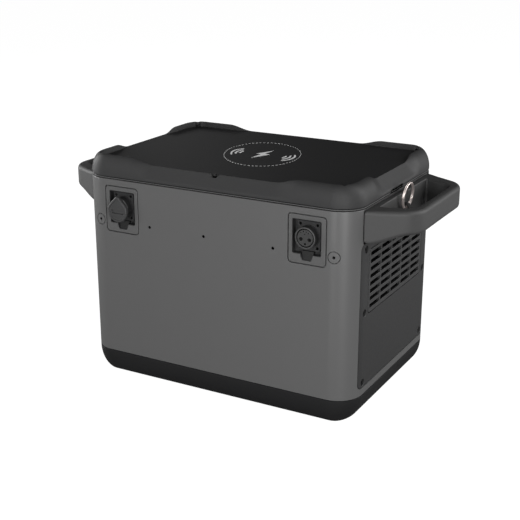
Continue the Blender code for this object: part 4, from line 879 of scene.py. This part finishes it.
def handle(sign):
    sections = []
    for (outer_x, outer_y), (inner_x, inner_y) in zip(handle_loop(HANDLE_OUTER),
                                                      handle_loop(HANDLE_INNER)):
        width = hypot(outer_x - inner_x, outer_y - inner_y)
        step_x, step_y = (inner_x - outer_x) / width, (inner_y - outer_y) / width
        grow = smooth(HANDLE_ROOT_X + 0.5, HANDLE_ROOT_X + 14.0, outer_x)
        outer_r = lerp(3.4, 4.6, grow)
        inner_r = min(lerp(1.4, 3.8, smooth(171.0, 180.0, inner_x)), width - outer_r - 0.4)
        # centre, radius and start angle of each rounded corner of the section
        corners = ((outer_r, handle_bottom(outer_x) + outer_r, outer_r, 270),
                   (outer_r, HANDLE_TOP - outer_r, outer_r, 180),
                   (width - inner_r, HANDLE_TOP - inner_r, inner_r, 90),
                   (width - inner_r, handle_bottom(inner_x) + inner_r, inner_r, 0))
        section = [polar(u, z, radius, start - 90.0 * i / SECTION_STEPS)
                   for u, z, radius, start in corners for i in range(SECTION_STEPS + 1)]
        sections.append([(sign * (outer_x + step_x * u), outer_y + step_y * u, z)
                         for u, z in section])
    return loft(list(zip(*sections)), closed=True)


# ------------------------------------------------------------------ strap lugs and rings
RING_X, RING_Z, RING_R, RING_LEAN = 173.6, 229.0, 13.2, radians(5.0)
RING_PIVOT_Z = RING_Z - RING_R
RING_STEPS, WIRE_STEPS = 112, 20
LUG_X0, LUG_X1, LUG_Z0, LUG_Z1, LUG_HALF_T = HANDLE_IN_X0 + GAP, 177.6, 206.0, 221.8, 1.5
LUG_BORE = ((2.7, -3.0), (2.5, -1.5), (2.2, -1.1), (2.2, 1.1), (2.5, 1.5), (2.7, 3.0))


def lug_plate(sign):
    arch = filleted([(LUG_X0, LUG_Z0, 0.4), (LUG_X1, LUG_Z0, 1.4),
                     (LUG_X1, LUG_Z1, 3.2), (LUG_X0, LUG_Z1, 2.9)], 8)
    centre_x, centre_z = (LUG_X0 + LUG_X1) / 2, 214.0

    def shrunk(inset):
        return [(sign * (centre_x + (x - centre_x) * (1 - inset / 3.4)),
                 centre_z + (z - centre_z) * (1 - inset / 8.0)) for x, z in arch]

    edge = [(inset, LUG_HALF_T - depth) for inset, depth in edge_round(0.5)]
    return swept("y", shrunk, [(inset, -y) for inset, y in edge] + edge[::-1])


def strap_ring(sign):
    """Split ring: two flattened turns side by side, leaning outwards."""
    section = []
    for k in range(WIRE_STEPS):
        angle = 2 * pi * k / WIRE_STEPS
        across = 1.6 * sin(angle)
        height = 1.35 - 0.42 * max(0.0, 1 - abs(across) / 0.55)
        half = 1 if cos(angle) > 0 else -1
        section.append((across, height * half * abs(cos(angle)) ** 0.7))
    rings = []
    for i in range(RING_STEPS):
        angle = 2 * pi * i / RING_STEPS
        ring = []
        for across, out in section:
            radius = RING_R + 0.25 + out
            up = RING_R + radius * sin(angle)
            ring.append((sign * (RING_X + across * cos(RING_LEAN) + up * sin(RING_LEAN)),
                         radius * cos(angle),
                         RING_PIVOT_Z - across * sin(RING_LEAN) + up * cos(RING_LEAN)))
        rings.append(ring)
    return loft(rings, closed=True)


for side, sign in SIDES:
    piece(f"handle_grip_{side}", MAT_HANDLE, handle(sign),
          replaces=f"handle_{side}", slot="handle_grey")
    lug = piece(f"strap_lug_plate_{side}", MAT_LUG, lug_plate(sign),
                replaces=f"strap_lug_{side}", slot="lug_grey")
    cut(lug, turned("y", sign * RING_X, RING_PIVOT_Z, LUG_BORE, 28))
    piece(f"strap_ring_wire_{side}", MAT_STEEL, strap_ring(sign), body=f"{side}_ring",
          replaces=f"strap_ring_{side}", slot="ring_steel")

# ------------------------------------------------------------------ port bezels
PORT_X0, PORT_X1, PORT_Z0, PORT_Z1 = 96.1, 128.7, 185.6, 222.2
NOTCH_TOP, NOTCH_BOTTOM, NOTCH_Z = (105.1, 119.9), (107.2, 117.7), 179.4
PORT_FLOOR = FRONT + 6.8
SOCKET_X, SOCKET_Z = 113.0, 204.6


def port_shape(sign):
    """Port opening with a tapered notch below it."""
    def shape(grow):
        z0, z1, notch_z, radius = PORT_Z0 - grow, PORT_Z1 + grow, NOTCH_Z - grow, 1.6 + grow
        corners = [(PORT_X0 - grow, z0, radius), (NOTCH_TOP[0] - grow, z0, 0.8),
                   (NOTCH_BOTTOM[0] - grow, notch_z, radius),
                   (NOTCH_BOTTOM[1] + grow, notch_z, radius),
                   (NOTCH_TOP[1] + grow, z0, 0.8), (PORT_X1 + grow, z0, radius),
                   (PORT_X1 + grow, z1, radius), (PORT_X0 - grow, z1, radius)]
        if sign < 0:
            corners = [(-x, z, radius) for x, z, radius in reversed(corners)]
        return filleted(corners, 5)
    return shape


def bezel_frame(sign):
    wide = rect_shape(*mirrored(sign, BEZEL_X0 + 0.7, BEZEL_X1 - 0.7),
                      BEZEL_Z0 + 0.7, BEZEL_Z1 - 0.7, 3.5, 6)
    slim = rounded_rect(*mirrored(sign, BEZEL_X0 + 2.4, BEZEL_X1 - 3.3),
                        BEZEL_Z0 + 1.8, BEZEL_Z1 - 3.0, 2.7)
    return joined(plate("y", wide, FRONT, FRONT + 2.6, 0.5),
                  prism(slim, "y", FRONT + 2.6, PORT_FLOOR + 2.4))


for side, sign in SIDES:
    shape = port_shape(sign)
    socket_x, screw_x = sign * SOCKET_X, sign * BEZEL_SCREW_X
    bezel = piece(f"port_bezel_frame_{side}", MAT_BEZEL, bezel_frame(sign),
                  replaces=f"port_bezel_{side}", slot="bezel_grey")
    cut(bezel, mouth("y", shape, FRONT, PORT_FLOOR, 0.35, 2))
    cut(bezel, cylinder("y", socket_x, SOCKET_Z, 12.0, FRONT - 4, FRONT + 20, 64))
    # dark liner of the pocket: walls and floor behind the frame's lip
    liner = ((-0.05, FRONT + 0.55), (-0.05, PORT_FLOOR - 0.02),
             (-0.6, PORT_FLOOR - 0.02), (-0.6, FRONT + 0.55))
    piece(f"port_wall_{side}", MAT_SOCKET, swept("y", shape, liner, closed=True))
    port_floor = piece(f"port_floor_{side}", MAT_SOCKET,
                       prism(shape(-0.62), "y", PORT_FLOOR - 0.14, PORT_FLOOR - 0.02))
    cut(port_floor, cylinder("y", socket_x, SOCKET_Z, 11.8, FRONT, FRONT + 12, 48))

    cover = piece(f"bezel_screw_cover_{side}", MAT_COVER,
                  turned("y", screw_x, BEZEL_SCREW_Z,
                         [(BEZEL_SCREW_R, FRONT - 3), (BEZEL_SCREW_R, FRONT + 3.7),
                          (2.2, FRONT + 3.7), (2.2, FRONT + 11)]),
                  replaces=f"bezel_screw_{side}", slot="screw_cover_grey")
    # trim the cover to the body's rounded corner
    boolean(cover, "INTERSECT", prism(outline(0.05, 40), "z", 150.0, 225.0))
    cut(cover, mouth("y", round_shape(screw_x, BEZEL_SCREW_Z, 1.55),
                     FRONT + 0.5, FRONT + 3.2, 0.4, 2, reach=4.0))
    # near-black plug in the cover's centre hole: painted shade
    piece(f"bezel_screw_hole_shade_{side}", MAT_HOLE_SHADE,
          cylinder("y", screw_x, BEZEL_SCREW_Z, 1.5, FRONT + 1.6, FRONT + 3.1))

# ------------------------------------------------------------------ power sockets
FLANGE_W, FLANGE_H, FLANGE_T = 26.0, 31.0, 2.6
FLANGE_HOLES = (19.0, 24.0)              # spacing in x and z
FLANGE_Y = FRONT + 4.0
BARREL_R, BARREL_BORE_R = 11.3, 9.7
BARREL_TIP = FRONT - 5.0
COLLAR = ((BARREL_BORE_R, 1.18), (BARREL_BORE_R, 0.3), (BARREL_BORE_R + 0.1, 0.1),
          (BARREL_BORE_R + 0.3, 0.0), (BARREL_R - 0.5, 0.0), (BARREL_R - 0.15, 0.15),
          (BARREL_R, 0.5), (BARREL_R, 1.18))     # radius, depth behind the tip


def release_tab(sign, centre):
    """Tapered tab in the notch below the flange; its face slopes from foot to top."""
    low, high = NOTCH_Z + 0.5, PORT_Z0 + 3.2
    corners = [(centre - (5.4 if sign > 0 else 5.3), low), (centre + 4.4, low),
               (centre + 6.4, high), (centre - 7.4, high)]
    if sign < 0:
        corners = [(2 * centre - x, z) for x, z in reversed(corners)]
    rings = []
    # inset, and depth of the top and of the foot behind the socket face
    for inset, top, foot in ((0.45, 3.2, 1.1), (0.1, 3.3, 1.2), (0.0, 3.8, 1.7), (0.0, 6.4, 6.4)):
        points = filleted([(x + (inset if x < centre else -inset),
                            z + (inset if z < NOTCH_Z + 2 else -inset), 0.7)
                           for x, z in corners], 4)
        rings.append([(x, lerp(FRONT + foot, FRONT + top, clamp01((z - NOTCH_Z) / 7.0)), z)
                      for x, z in points])
    return loft(rings)


def make_socket(name, sign, node):
    centre = sign * SOCKET_X
    flange_back = FLANGE_Y + FLANGE_T + 1.0
    ob = piece(name, MAT_SOCKET,
               plate("y", rect_shape(centre - FLANGE_W / 2, centre + FLANGE_W / 2,
                                     SOCKET_Z - FLANGE_H / 2, SOCKET_Z + FLANGE_H / 2, 1.6),
                     FLANGE_Y, FLANGE_Y + FLANGE_T, 0.5),
               replaces=node, slot="socket_black")
    fuse(ob, turned("y", centre, SOCKET_Z, [
        (BARREL_R - 0.3, BARREL_TIP + 1.2), (BARREL_R, BARREL_TIP + 1.2),
        (BARREL_R, FLANGE_Y - 1.2), (BARREL_R + 0.35, FLANGE_Y - 1.2),
        (BARREL_R + 0.35, FLANGE_Y + 0.4), (BARREL_R, FLANGE_Y + 0.4),
        (BARREL_R, flange_back), (11.6, flange_back), (11.6, FRONT + 24)], 64))
    holes = [(i, j, centre + i * FLANGE_HOLES[0] / 2, SOCKET_Z + j * FLANGE_HOLES[1] / 2)
             for i, j in CORNERS]
    cut(ob,
        mouth("y", round_shape(centre, SOCKET_Z, BARREL_BORE_R, 64), BARREL_TIP, FRONT + 6.0, 0.35),
        *[mouth("y", round_shape(x, z, 1.5, 20), FLANGE_Y, FRONT + 12, 0.3, 2, reach=1.0)
          for i, j, x, z in holes])
    collar = [(radius, BARREL_TIP + depth) for radius, depth in COLLAR]
    piece(f"{name}_collar", MAT_COLLAR, turned("y", centre, SOCKET_Z, collar, 64, closed=True))
    piece(f"{name}_tab", MAT_TAB, release_tab(sign, centre))
    # near-black plugs in the flange's fixing holes: painted shade
    for i, j, x, z in holes:
        profile = [(0.6, FLANGE_Y + 1.3), (1.1, FLANGE_Y + 1.4),
                   (1.3, FLANGE_Y + 1.6), (1.3, FLANGE_Y + 2.4)]
        piece(f"{name}_fixing_{'lr'[i > 0]}{'ba'[j > 0]}", MAT_HOLE_SHADE,
              turned("y", x, z, profile, 18))


make_socket("open_socket_body", 1, "power_socket_right")
make_socket("capped_socket_body", -1, "power_socket_left")

# contact block in the open socket; contacts and small holes are placed from its centre
INSERT_R, INSERT_TIP = 8.75, FRONT - 4.6
CONTACTS = ((-4.6, -1.5, 1.9), (4.6, -1.5, 1.95), (-0.1, -6.2, 1.15))    # x, z, radius
PINHOLES = ((-4.6, 5.3), (-1.9, 6.7), (1.5, 6.7), (3.9, 5.2), (-0.3, 3.9))
profile = [(INSERT_R - inset, INSERT_TIP + depth) for inset, depth in edge_round(0.4)]
insert = piece("socket_contact_block", MAT_INSERT,
               turned("y", SOCKET_X, SOCKET_Z, profile + [(INSERT_R, FRONT + 5.7)], 64),
               replaces="socket_insert", slot="insert_grey")
cut(insert,
    *[mouth("y", round_shape(SOCKET_X + x, SOCKET_Z + z, radius), INSERT_TIP, FRONT + 2.5,
            0.25, 2) for x, z, radius in CONTACTS],
    *[cylinder("y", SOCKET_X + x, SOCKET_Z + z, 0.55, INSERT_TIP - 2, INSERT_TIP + 2.0, 12)
      for x, z in PINHOLES])
# near-black linings of the contact holes: painted shade
for k, (x, z, radius) in enumerate(CONTACTS, 1):
    piece(f"contact_hole_shade_{k}", MAT_HOLE_SHADE,
          cylinder("y", SOCKET_X + x, SOCKET_Z + z, radius - 0.05, FRONT + 0.6, FRONT + 2.45))

# ------------------------------------------------------------------ drop-shaped rubber cap
CAP_Z, CAP_R, CAP_APEX, CAP_TIP_R = 201.9, 12.5, 218.2, 3.6
CAP_FRONT, CAP_BACK = FRONT - 9.2, BARREL_TIP - GAP


def drop_shape(scale):
    """Outline round a big and a small circle, scaled about the big one's centre."""
    rise = CAP_APEX - CAP_Z - CAP_TIP_R
    lean = acos((CAP_R - CAP_TIP_R) / rise)
    points = []
    for i in range(45):
        angle = pi / 2 + lean + (2 * pi - 2 * lean) * i / 44
        points.append((CAP_R * cos(angle), CAP_R * sin(angle)))
    for i in range(11):
        angle = pi / 2 - lean + 2 * lean * i / 10
        points.append((CAP_TIP_R * cos(angle), rise + CAP_TIP_R * sin(angle)))
    return [(-SOCKET_X + x * scale, CAP_Z + z * scale) for x, z in points]


stations = [(0.78, CAP_FRONT + 0.6), (0.81, CAP_FRONT + 0.1)]        # dished face
stations += [(1 - inset / CAP_R, CAP_FRONT + depth) for inset, depth in edge_round(1.4, 5)]
stations += [(1.0, CAP_BACK - 0.3), (0.98, CAP_BACK)]
cap = piece("port_cap_rubber", MAT_CAP, swept("y", drop_shape, stations), body="rubber_cap",
            replaces="port_cap", slot="cap_rubber")
fuse(cap, cylinder("y", -SOCKET_X, SOCKET_Z, BARREL_BORE_R - 0.4, CAP_BACK - 1.0, FRONT + 0.5, 48))
cut(cap, mouth("y", rect_shape(-SOCKET_X - 7.4, -SOCKET_X + 7.4, 199.3, 203.5, 0.6, 4),
               CAP_FRONT + 0.6, CAP_FRONT + 1.9, 0.25))

for k, x in enumerate(DOT_X, 1):
    piece(f"bracket_screw_head_{k}", MAT_SCREW,
          turned("y", x, DOT_Z, [(0.7, FRONT + 4.1), (0.8, FRONT + 3.5),
                                 (1.3, FRONT + 3.6), (1.3, FRONT + 8)], 20),
          replaces=f"bracket_screw_{k}", slot="screw_black")
    # near-black lining round each head in its hole: painted shade
    piece(f"bracket_screw_hole_shade_{k}", MAT_HOLE_SHADE,
          turned("y", x, DOT_Z, [(1.58, FRONT + 0.22), (1.58, FRONT + 3.3),
                                 (1.44, FRONT + 3.3), (1.44, FRONT + 0.3)], 24, closed=True))

# ------------------------------------------------------------------ control face
FACE_BACK = BACK - FACE_T
STEP_Y = FACE_BACK - GAP                 # shoulders of the parts that sit behind the plate
DISPLAY = (0.0, 181.0, 76.0, 40.0)       # centre x, z, width, height
USB = (84.0, 146.0, 60.0, 17.0)          # likewise
USB_PITCH = 14.3
AC_OUTLETS, AC_SIZE = ((-40.0, 98.0), (-92.0, 98.0)), (42.0, 52.0)
CAR_X, CAR_Z = 86.0, 99.0
BUTTONS = (("power_button", (70.0, 181.0, 9.0), "power_key"),     # name, (x, z, radius), body
           ("dc_button", (30.0, 146.0, 6.5), "dc_key"),
           ("ac_button", (-30.0, 146.0, 6.5), "ac_key"))

face = piece("control_face_plate", MAT_FACE,
             plate("y", rect_shape(FACE_X0 + 0.4, FACE_X1 - 0.4, FACE_Z0 + 0.4, FACE_Z1 - 0.4,
                                   9.6, 10), BACK, FACE_BACK, 0.5),
             replaces="control_panel", slot="face_black")
openings = [(rect_about(*DISPLAY, 4.0), 0.5)]        # shape, rim radius
openings += [(round_shape(x, z, radius + 0.4, 48), 0.5) for name, (x, z, radius), body in BUTTONS]
openings += [(rect_about(*USB, 3.3, 0.35), 0.4), (round_shape(CAR_X, CAR_Z, 14.2, 48), 0.4)]
openings += [(rect_about(*centre, *AC_SIZE, 6.3, 0.35), 0.4) for centre in AC_OUTLETS]
cut(face, *[mouth("y", shape, BACK, BACK - 12, edge) for shape, edge in openings])


def stepped(rect, radius, front_grow, back_grow, front_y, back_y, edge):
    """Block that fills an opening, with a wider shoulder behind the plate."""
    return joined(plate("y", rect_about(*rect, radius, front_grow), front_y, STEP_Y, edge),
                  prism(rect_about(*rect, radius, back_grow)(0), "y", STEP_Y, back_y))


piece("display_lens", MAT_GLASS,
      stepped(DISPLAY, 4.0, front_grow=-0.35, back_grow=1.6, front_y=BACK - 0.3,
              back_y=FACE_BACK - 2.0, edge=0.3),
      replaces="display_window", slot="display_black")

# unlit segments on the lens: charge bars in a frame with a nib, and three strokes beside it
SEGMENT_Y = (BACK - 0.31, BACK - 0.26)


def segment(x0, x1, z0, z1, radius=0.6):
    return prism(rounded_rect(x0, x1, z0, z1, radius, 3), "y", *SEGMENT_Y)


piece("display_segments", MAT_SEGMENT,
      *[segment(-26 + 7.4 * k, -20.6 + 7.4 * k, 172.5, 189.5, 0.8) for k in range(5)],
      swept("y", rect_shape(-28.6, 13.6, 170.0, 192.0, 2.0, 4),
            ((0.0, SEGMENT_Y[0]), (0.0, SEGMENT_Y[1]), (0.8, SEGMENT_Y[1]), (0.8, SEGMENT_Y[0])),
            closed=True),
      segment(14.8, 16.6, 177.0, 185.0),
      *[segment(21.5, 31.0 - 2.2 * k, 186.0 - 6.2 * k, 188.0 - 6.2 * k) for k in range(3)])


def button_symbol(name, x, z):
    """Power mark, direct-current mark or sine mark."""
    y0, y1 = BACK + 0.98, BACK + 1.06

    def bar(left, right, low, high):
        return box((x + left, y0, z + low), (x + right, y1, z + high))

    if name == "power_button":
        return [prism(arc_band(x, z, 2.6, 0.6, -235, 55, 24), "y", y0, y1),
                bar(-0.3, 0.3, 0.6, 3.4)]
    if name == "dc_button":
        return [bar(-1.8, 1.8, 0.4, 0.9)] + [bar(1.3 * k - 0.4, 1.3 * k + 0.4, -0.9, -0.4)
                                             for k in (-1, 0, 1)]
    wave = [(x - 1.9 + 3.8 * i / 20, z + 0.9 * sin(2 * pi * i / 20)) for i in range(21)]
    return [prism([(u, v + 0.28) for u, v in wave] + [(u, v - 0.28) for u, v in reversed(wave)],
                  "y", y0, y1)]


for name, (x, z, radius), body in BUTTONS:
    profile = [(radius * 0.35, BACK + 1.0), (radius * 0.62, BACK + 1.08),
               (radius * 0.8, BACK + 1.25)]
    profile += [(radius - inset, BACK + 1.4 - depth) for inset, depth in edge_round(0.7, 4)]
    profile += [(radius, STEP_Y), (radius + 1.4, STEP_Y), (radius + 1.4, FACE_BACK - 2.0)]
    piece(f"{name}_cap", MAT_BUTTON, turned("y", x, z, profile, 56), body=body,
          replaces=name, slot="button_grey")
    piece(f"{name}_mark", MAT_INK, *button_symbol(name, x, z), body=body)

usb = piece("usb_block", MAT_OUTLET,
            stepped(USB, 3.0, front_grow=0.0, back_grow=1.5, front_y=BACK + 0.3,
                    back_y=FACE_BACK - 14.0, edge=0.4),
            replaces="usb_module", slot="outlet_black")
# x, z, width, height, corner radius: two small round ports, then two larger square ones
USB_PORTS = [(USB[0] - 21.5 + USB_PITCH * k, USB[1], *size)
             for k, size in enumerate(((8.3, 3.3, 1.6),) * 2 + ((12.3, 5.8, 0.8),) * 2)]
cut(usb, *[mouth("y", rect_about(*port), BACK + 0.3, BACK - 9.5, 0.3, 2) for port in USB_PORTS])
for k, (x, z, width, height, radius) in enumerate(USB_PORTS, 1):
    if k <= 2:
        half = width / 2 - 1.4
        tongue = prism(rounded_rect(x - half, x + half, z - 0.35, z + 0.35, 0.3, 3),
                       "y", BACK - 9.4, BACK - 1.2)
    else:
        half = width / 2 - 0.9
        tongue = box((x - half, BACK - 9.4, z - 0.2), (x + half, BACK - 1.6, z + 1.7))
    piece(f"usb_tongue_{k}", MAT_INSERT, tongue)


def outlet_dish(x, z):
    """Cutter for the shallow dish round the slots."""
    rim = filleted([(x - 15, z - 14, 9), (x + 15, z - 14, 9),
                    (x + 15, z + 13, 5), (x - 15, z + 13, 5)], 8)
    return swept("y", lambda scale: [(x + (u - x) * scale, z + (v - z) * scale) for u, v in rim],
                 ((1.0, BACK + 3), (1.0, BACK + 0.6), (0.95, BACK - 0.5)))


for k, (x, z) in enumerate(AC_OUTLETS, 1):
    outlet = piece(f"ac_outlet_face_{k}", MAT_OUTLET,
                   stepped((x, z, *AC_SIZE), 6.0, front_grow=0.0, back_grow=1.5,
                           front_y=BACK + 0.6, back_y=FACE_BACK - 18.0, edge=0.6),
                   replaces=f"ac_outlet_{k}", slot="outlet_black")
    cut(outlet, outlet_dish(x, z))
    # two blade slots and a round-bottomed one below them
    cut(outlet,
        box((x - 7.3, BACK - 11, z - 0.5), (x - 5.3, BACK + 4, z + 8.0)),
        box((x + 5.3, BACK - 11, z + 0.3), (x + 7.3, BACK + 4, z + 7.2)),
        prism(arc(x, z - 9.6, 2.6, 180, 360, 12) + [(x + 2.6, z - 6.4), (x - 2.6, z - 6.4)],
              "y", BACK - 11, BACK + 4))

# ------------------------------------------------------------------ car socket and its cover
HINGE_Y, HINGE_Z = BACK + 5.2, CAR_Z + 20.6

car = piece("car_socket_body", MAT_OUTLET,
            turned("y", CAR_X, CAR_Z,
                   [(10.5, BACK - 32), (10.5, BACK + 2.4), (10.9, BACK + 2.8),
                    (16.5, BACK + 2.8), (17.0, BACK + 2.3), (17.0, BACK + GAP),
                    (13.8, BACK + GAP), (13.8, BACK - 36)], 64),
            replaces="car_socket", slot="outlet_black")
fuse(car, plate("y", rect_shape(CAR_X - 8.6, CAR_X + 8.6, CAR_Z + 12.5, HINGE_Z - 2.4, 0.8, 3),
                BACK + 2.8, BACK + GAP, 0.3))
# hinge ears: corners in y, z with their radius
ear = filleted([(BACK + 0.9, HINGE_Z - 4.6, 0.3), (HINGE_Y + 2.0, HINGE_Z - 4.6, 0.3),
                (HINGE_Y + 2.0, HINGE_Z + 1.8, 1.7), (BACK + 0.9, HINGE_Z + 1.8, 1.7)], 6)
fuse(car, prism(ear, "x", CAR_X - 8.4, CAR_X - 6.0), prism(ear, "x", CAR_X + 6.0, CAR_X + 8.4))
cut(car, cylinder("x", HINGE_Y, HINGE_Z, 1.25, CAR_X - 12, CAR_X + 12))
piece("car_socket_contact", MAT_CONTACT,
      turned("y", CAR_X, CAR_Z, [(9.0, BACK - 31.8), (9.0, BACK - 31.0), (3.0, BACK - 31.0),
                                 (3.0, BACK - 26.0), (2.0, BACK - 25.0)], 32))

profile = [(15.6, BACK + 3.2), (16.6, BACK + 3.7), (16.6, BACK + 7.4)]
profile += [(16.6 - inset, BACK + 9.2 - depth) for inset, depth in reversed(edge_round(1.8, 6))]
profile += [(11.5, BACK + 9.2), (11.0, BACK + 8.7), (4.0, BACK + 8.7)]
flap = piece("car_socket_flap", MAT_CAP, turned("y", CAR_X, CAR_Z, profile, 64),
             body="socket_lid", replaces="car_socket_cover", slot="cap_rubber")
# hinge barrel with a pin at each end, the arm that joins it, and the lift tab at the lower edge
fuse(flap, turned("x", HINGE_Y, HINGE_Z,
                  [(0.95, CAR_X - 8.0), (0.95, CAR_X - 5.6), (1.7, CAR_X - 5.6),
                   (1.7, CAR_X + 5.6), (0.95, CAR_X + 5.6), (0.95, CAR_X + 8.0)], 28))
fuse(flap, plate("y", rect_shape(CAR_X - 5.0, CAR_X + 5.0, CAR_Z + 13.0, HINGE_Z - 0.2, 0.6, 3),
                 BACK + 6.5, BACK + 3.5, 0.4))
lift_tab = filleted([(CAR_X - 5, CAR_Z - 12, 0.5), (CAR_X - 4.2, CAR_Z - 20.5, 2.0),
                     (CAR_X + 4.2, CAR_Z - 20.5, 2.0), (CAR_X + 5, CAR_Z - 12, 0.5)], 5)
fuse(flap, prism(lift_tab, "y", BACK + 5.0, BACK + 7.0))

# ------------------------------------------------------------------ inner parts
# these keep their CAD shape and only get a material
INNER = {"battery_pack": MAT_CELLS, "chassis_bracket": MAT_ZINC, "inverter_board": MAT_BOARD,
         "bms_board": MAT_BOARD, "fan_frame": MAT_FAN, "fan_rotor": MAT_FAN,
         "charge_coil": MAT_COPPER, "battery_cable": MAT_CABLE}
for node, material in INNER.items():
    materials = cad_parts[node].data.materials
    materials.clear()
    materials.append(material)

finish_pieces()

# ------------------------------------------------------------------ floor and world (metres)
scene = bpy.context.scene
scene.view_settings.view_transform = "Standard"
FLOOR_HALF = 14.0


def floor_material():
    """Near-white to the camera, a plain dark grey to every other ray."""
    shader = new_shader("floor_pale")
    shader.surface({"Base Color": (0.16, 0.16, 0.16, 1), "Roughness": 0.9,
                    "Specular IOR Level": 0.0})
    camera_ray = shader.nodes.new("ShaderNodeLightPath").outputs["Is Camera Ray"]
    glow = shader.node("ShaderNodeEmission", {"Strength": 0.985})
    dark = shader.node("ShaderNodeBsdfDiffuse", {"Color": (0.30, 0.30, 0.30, 1)})
    pale = shader.node("ShaderNodeAddShader", {
        0: shader.nodes["Principled BSDF"].outputs[0], 1: glow.outputs[0]})
    mix = shader.node("ShaderNodeMixShader", {
        "Fac": camera_ray, 1: dark.outputs[0], 2: pale.outputs[0]})
    shader.feed(shader.nodes["Material Output"], {"Surface": mix.outputs[0]})
    return shader.owner


floor_mesh = bpy.data.meshes.new("floor")
floor_mesh.from_pydata([(i * FLOOR_HALF, j * FLOOR_HALF, 0)
                        for i, j in ((-1, -1), (1, -1), (1, 1), (-1, 1))], [], [(0, 1, 2, 3)])
floor = bpy.data.objects.new("floor", floor_mesh)
scene.collection.objects.link(floor)
floor_mesh.materials.append(floor_material())

# white behind the product, almost black as a light source
world = bpy.data.worlds.new("studio")
scene.world = world
sky = Shader(world)
camera_ray = sky.nodes.new("ShaderNodeLightPath").outputs["Is Camera Ray"]
mix = sky.node("ShaderNodeMix", {"A": (0.02, 0.02, 0.02, 1), "B": (1.0, 1.0, 1.0, 1),
                                 "Factor": camera_ray}, data_type="RGBA")
sky.feed(sky.nodes["Background"], {"Color": mix.outputs["Result"], "Strength": 1.0})

# ------------------------------------------------------------------ lights and camera (metres)
LIGHT_TARGET = Vector((0, 0, 0.13))
# Soft area lights: name, azimuth and elevation in degrees, distance, width, height, watts.
# Azimuth 0 is in front of the socket face, positive towards the right handle.
LIGHTS = (
    ("key_front", 0, 9, 2.4, 0.6, 1.1, 23),
    ("key_right", 41, 9, 2.4, 0.65, 1.1, 30),
    ("side_front", 62, 10, 2.4, 0.4, 1.1, 1.5),
    ("side_back", 130, 14, 2.4, 0.5, 1.1, 23),
    ("side_high", 104, 38, 2.4, 1.2, 0.7, 15),
    ("side_left", -90, 12, 2.2, 0.8, 1.0, 27),
    ("front_left", -60, 10, 2.4, 0.5, 1.1, 8),
    ("high_front", 20, 42, 2.4, 1.2, 0.6, 3),
    ("back_left", 218, 17, 2.4, 0.5, 0.5, 0.8),
)
for name, azimuth, elevation, distance, width, height, watts in LIGHTS:
    light = bpy.data.lights.new(name, "AREA")
    light.shape = "RECTANGLE"
    light.size = width
    light.size_y = height
    light.energy = watts
    ob = bpy.data.objects.new(name, light)
    scene.collection.objects.link(ob)
    turn, lift = radians(azimuth), radians(elevation)
    direction = Vector((sin(turn) * cos(lift), -cos(turn) * cos(lift), sin(lift)))
    ob.location = LIGHT_TARGET + direction * distance
    ob.rotation_euler = (LIGHT_TARGET - ob.location).to_track_quat("-Z", "Y").to_euler()

camera_data = bpy.data.cameras.new("camera")
camera_data.lens = 72.83
camera_data.sensor_width = 36.0
camera = bpy.data.objects.new("camera", camera_data)
camera.location = (0.5550, -1.0081, 0.5163)
# looks down by 18.59 degrees, turned 28.93 degrees about z
camera.rotation_euler = (radians(90 - 18.59), 0.0, radians(28.93))
scene.collection.objects.link(camera)
scene.camera = camera
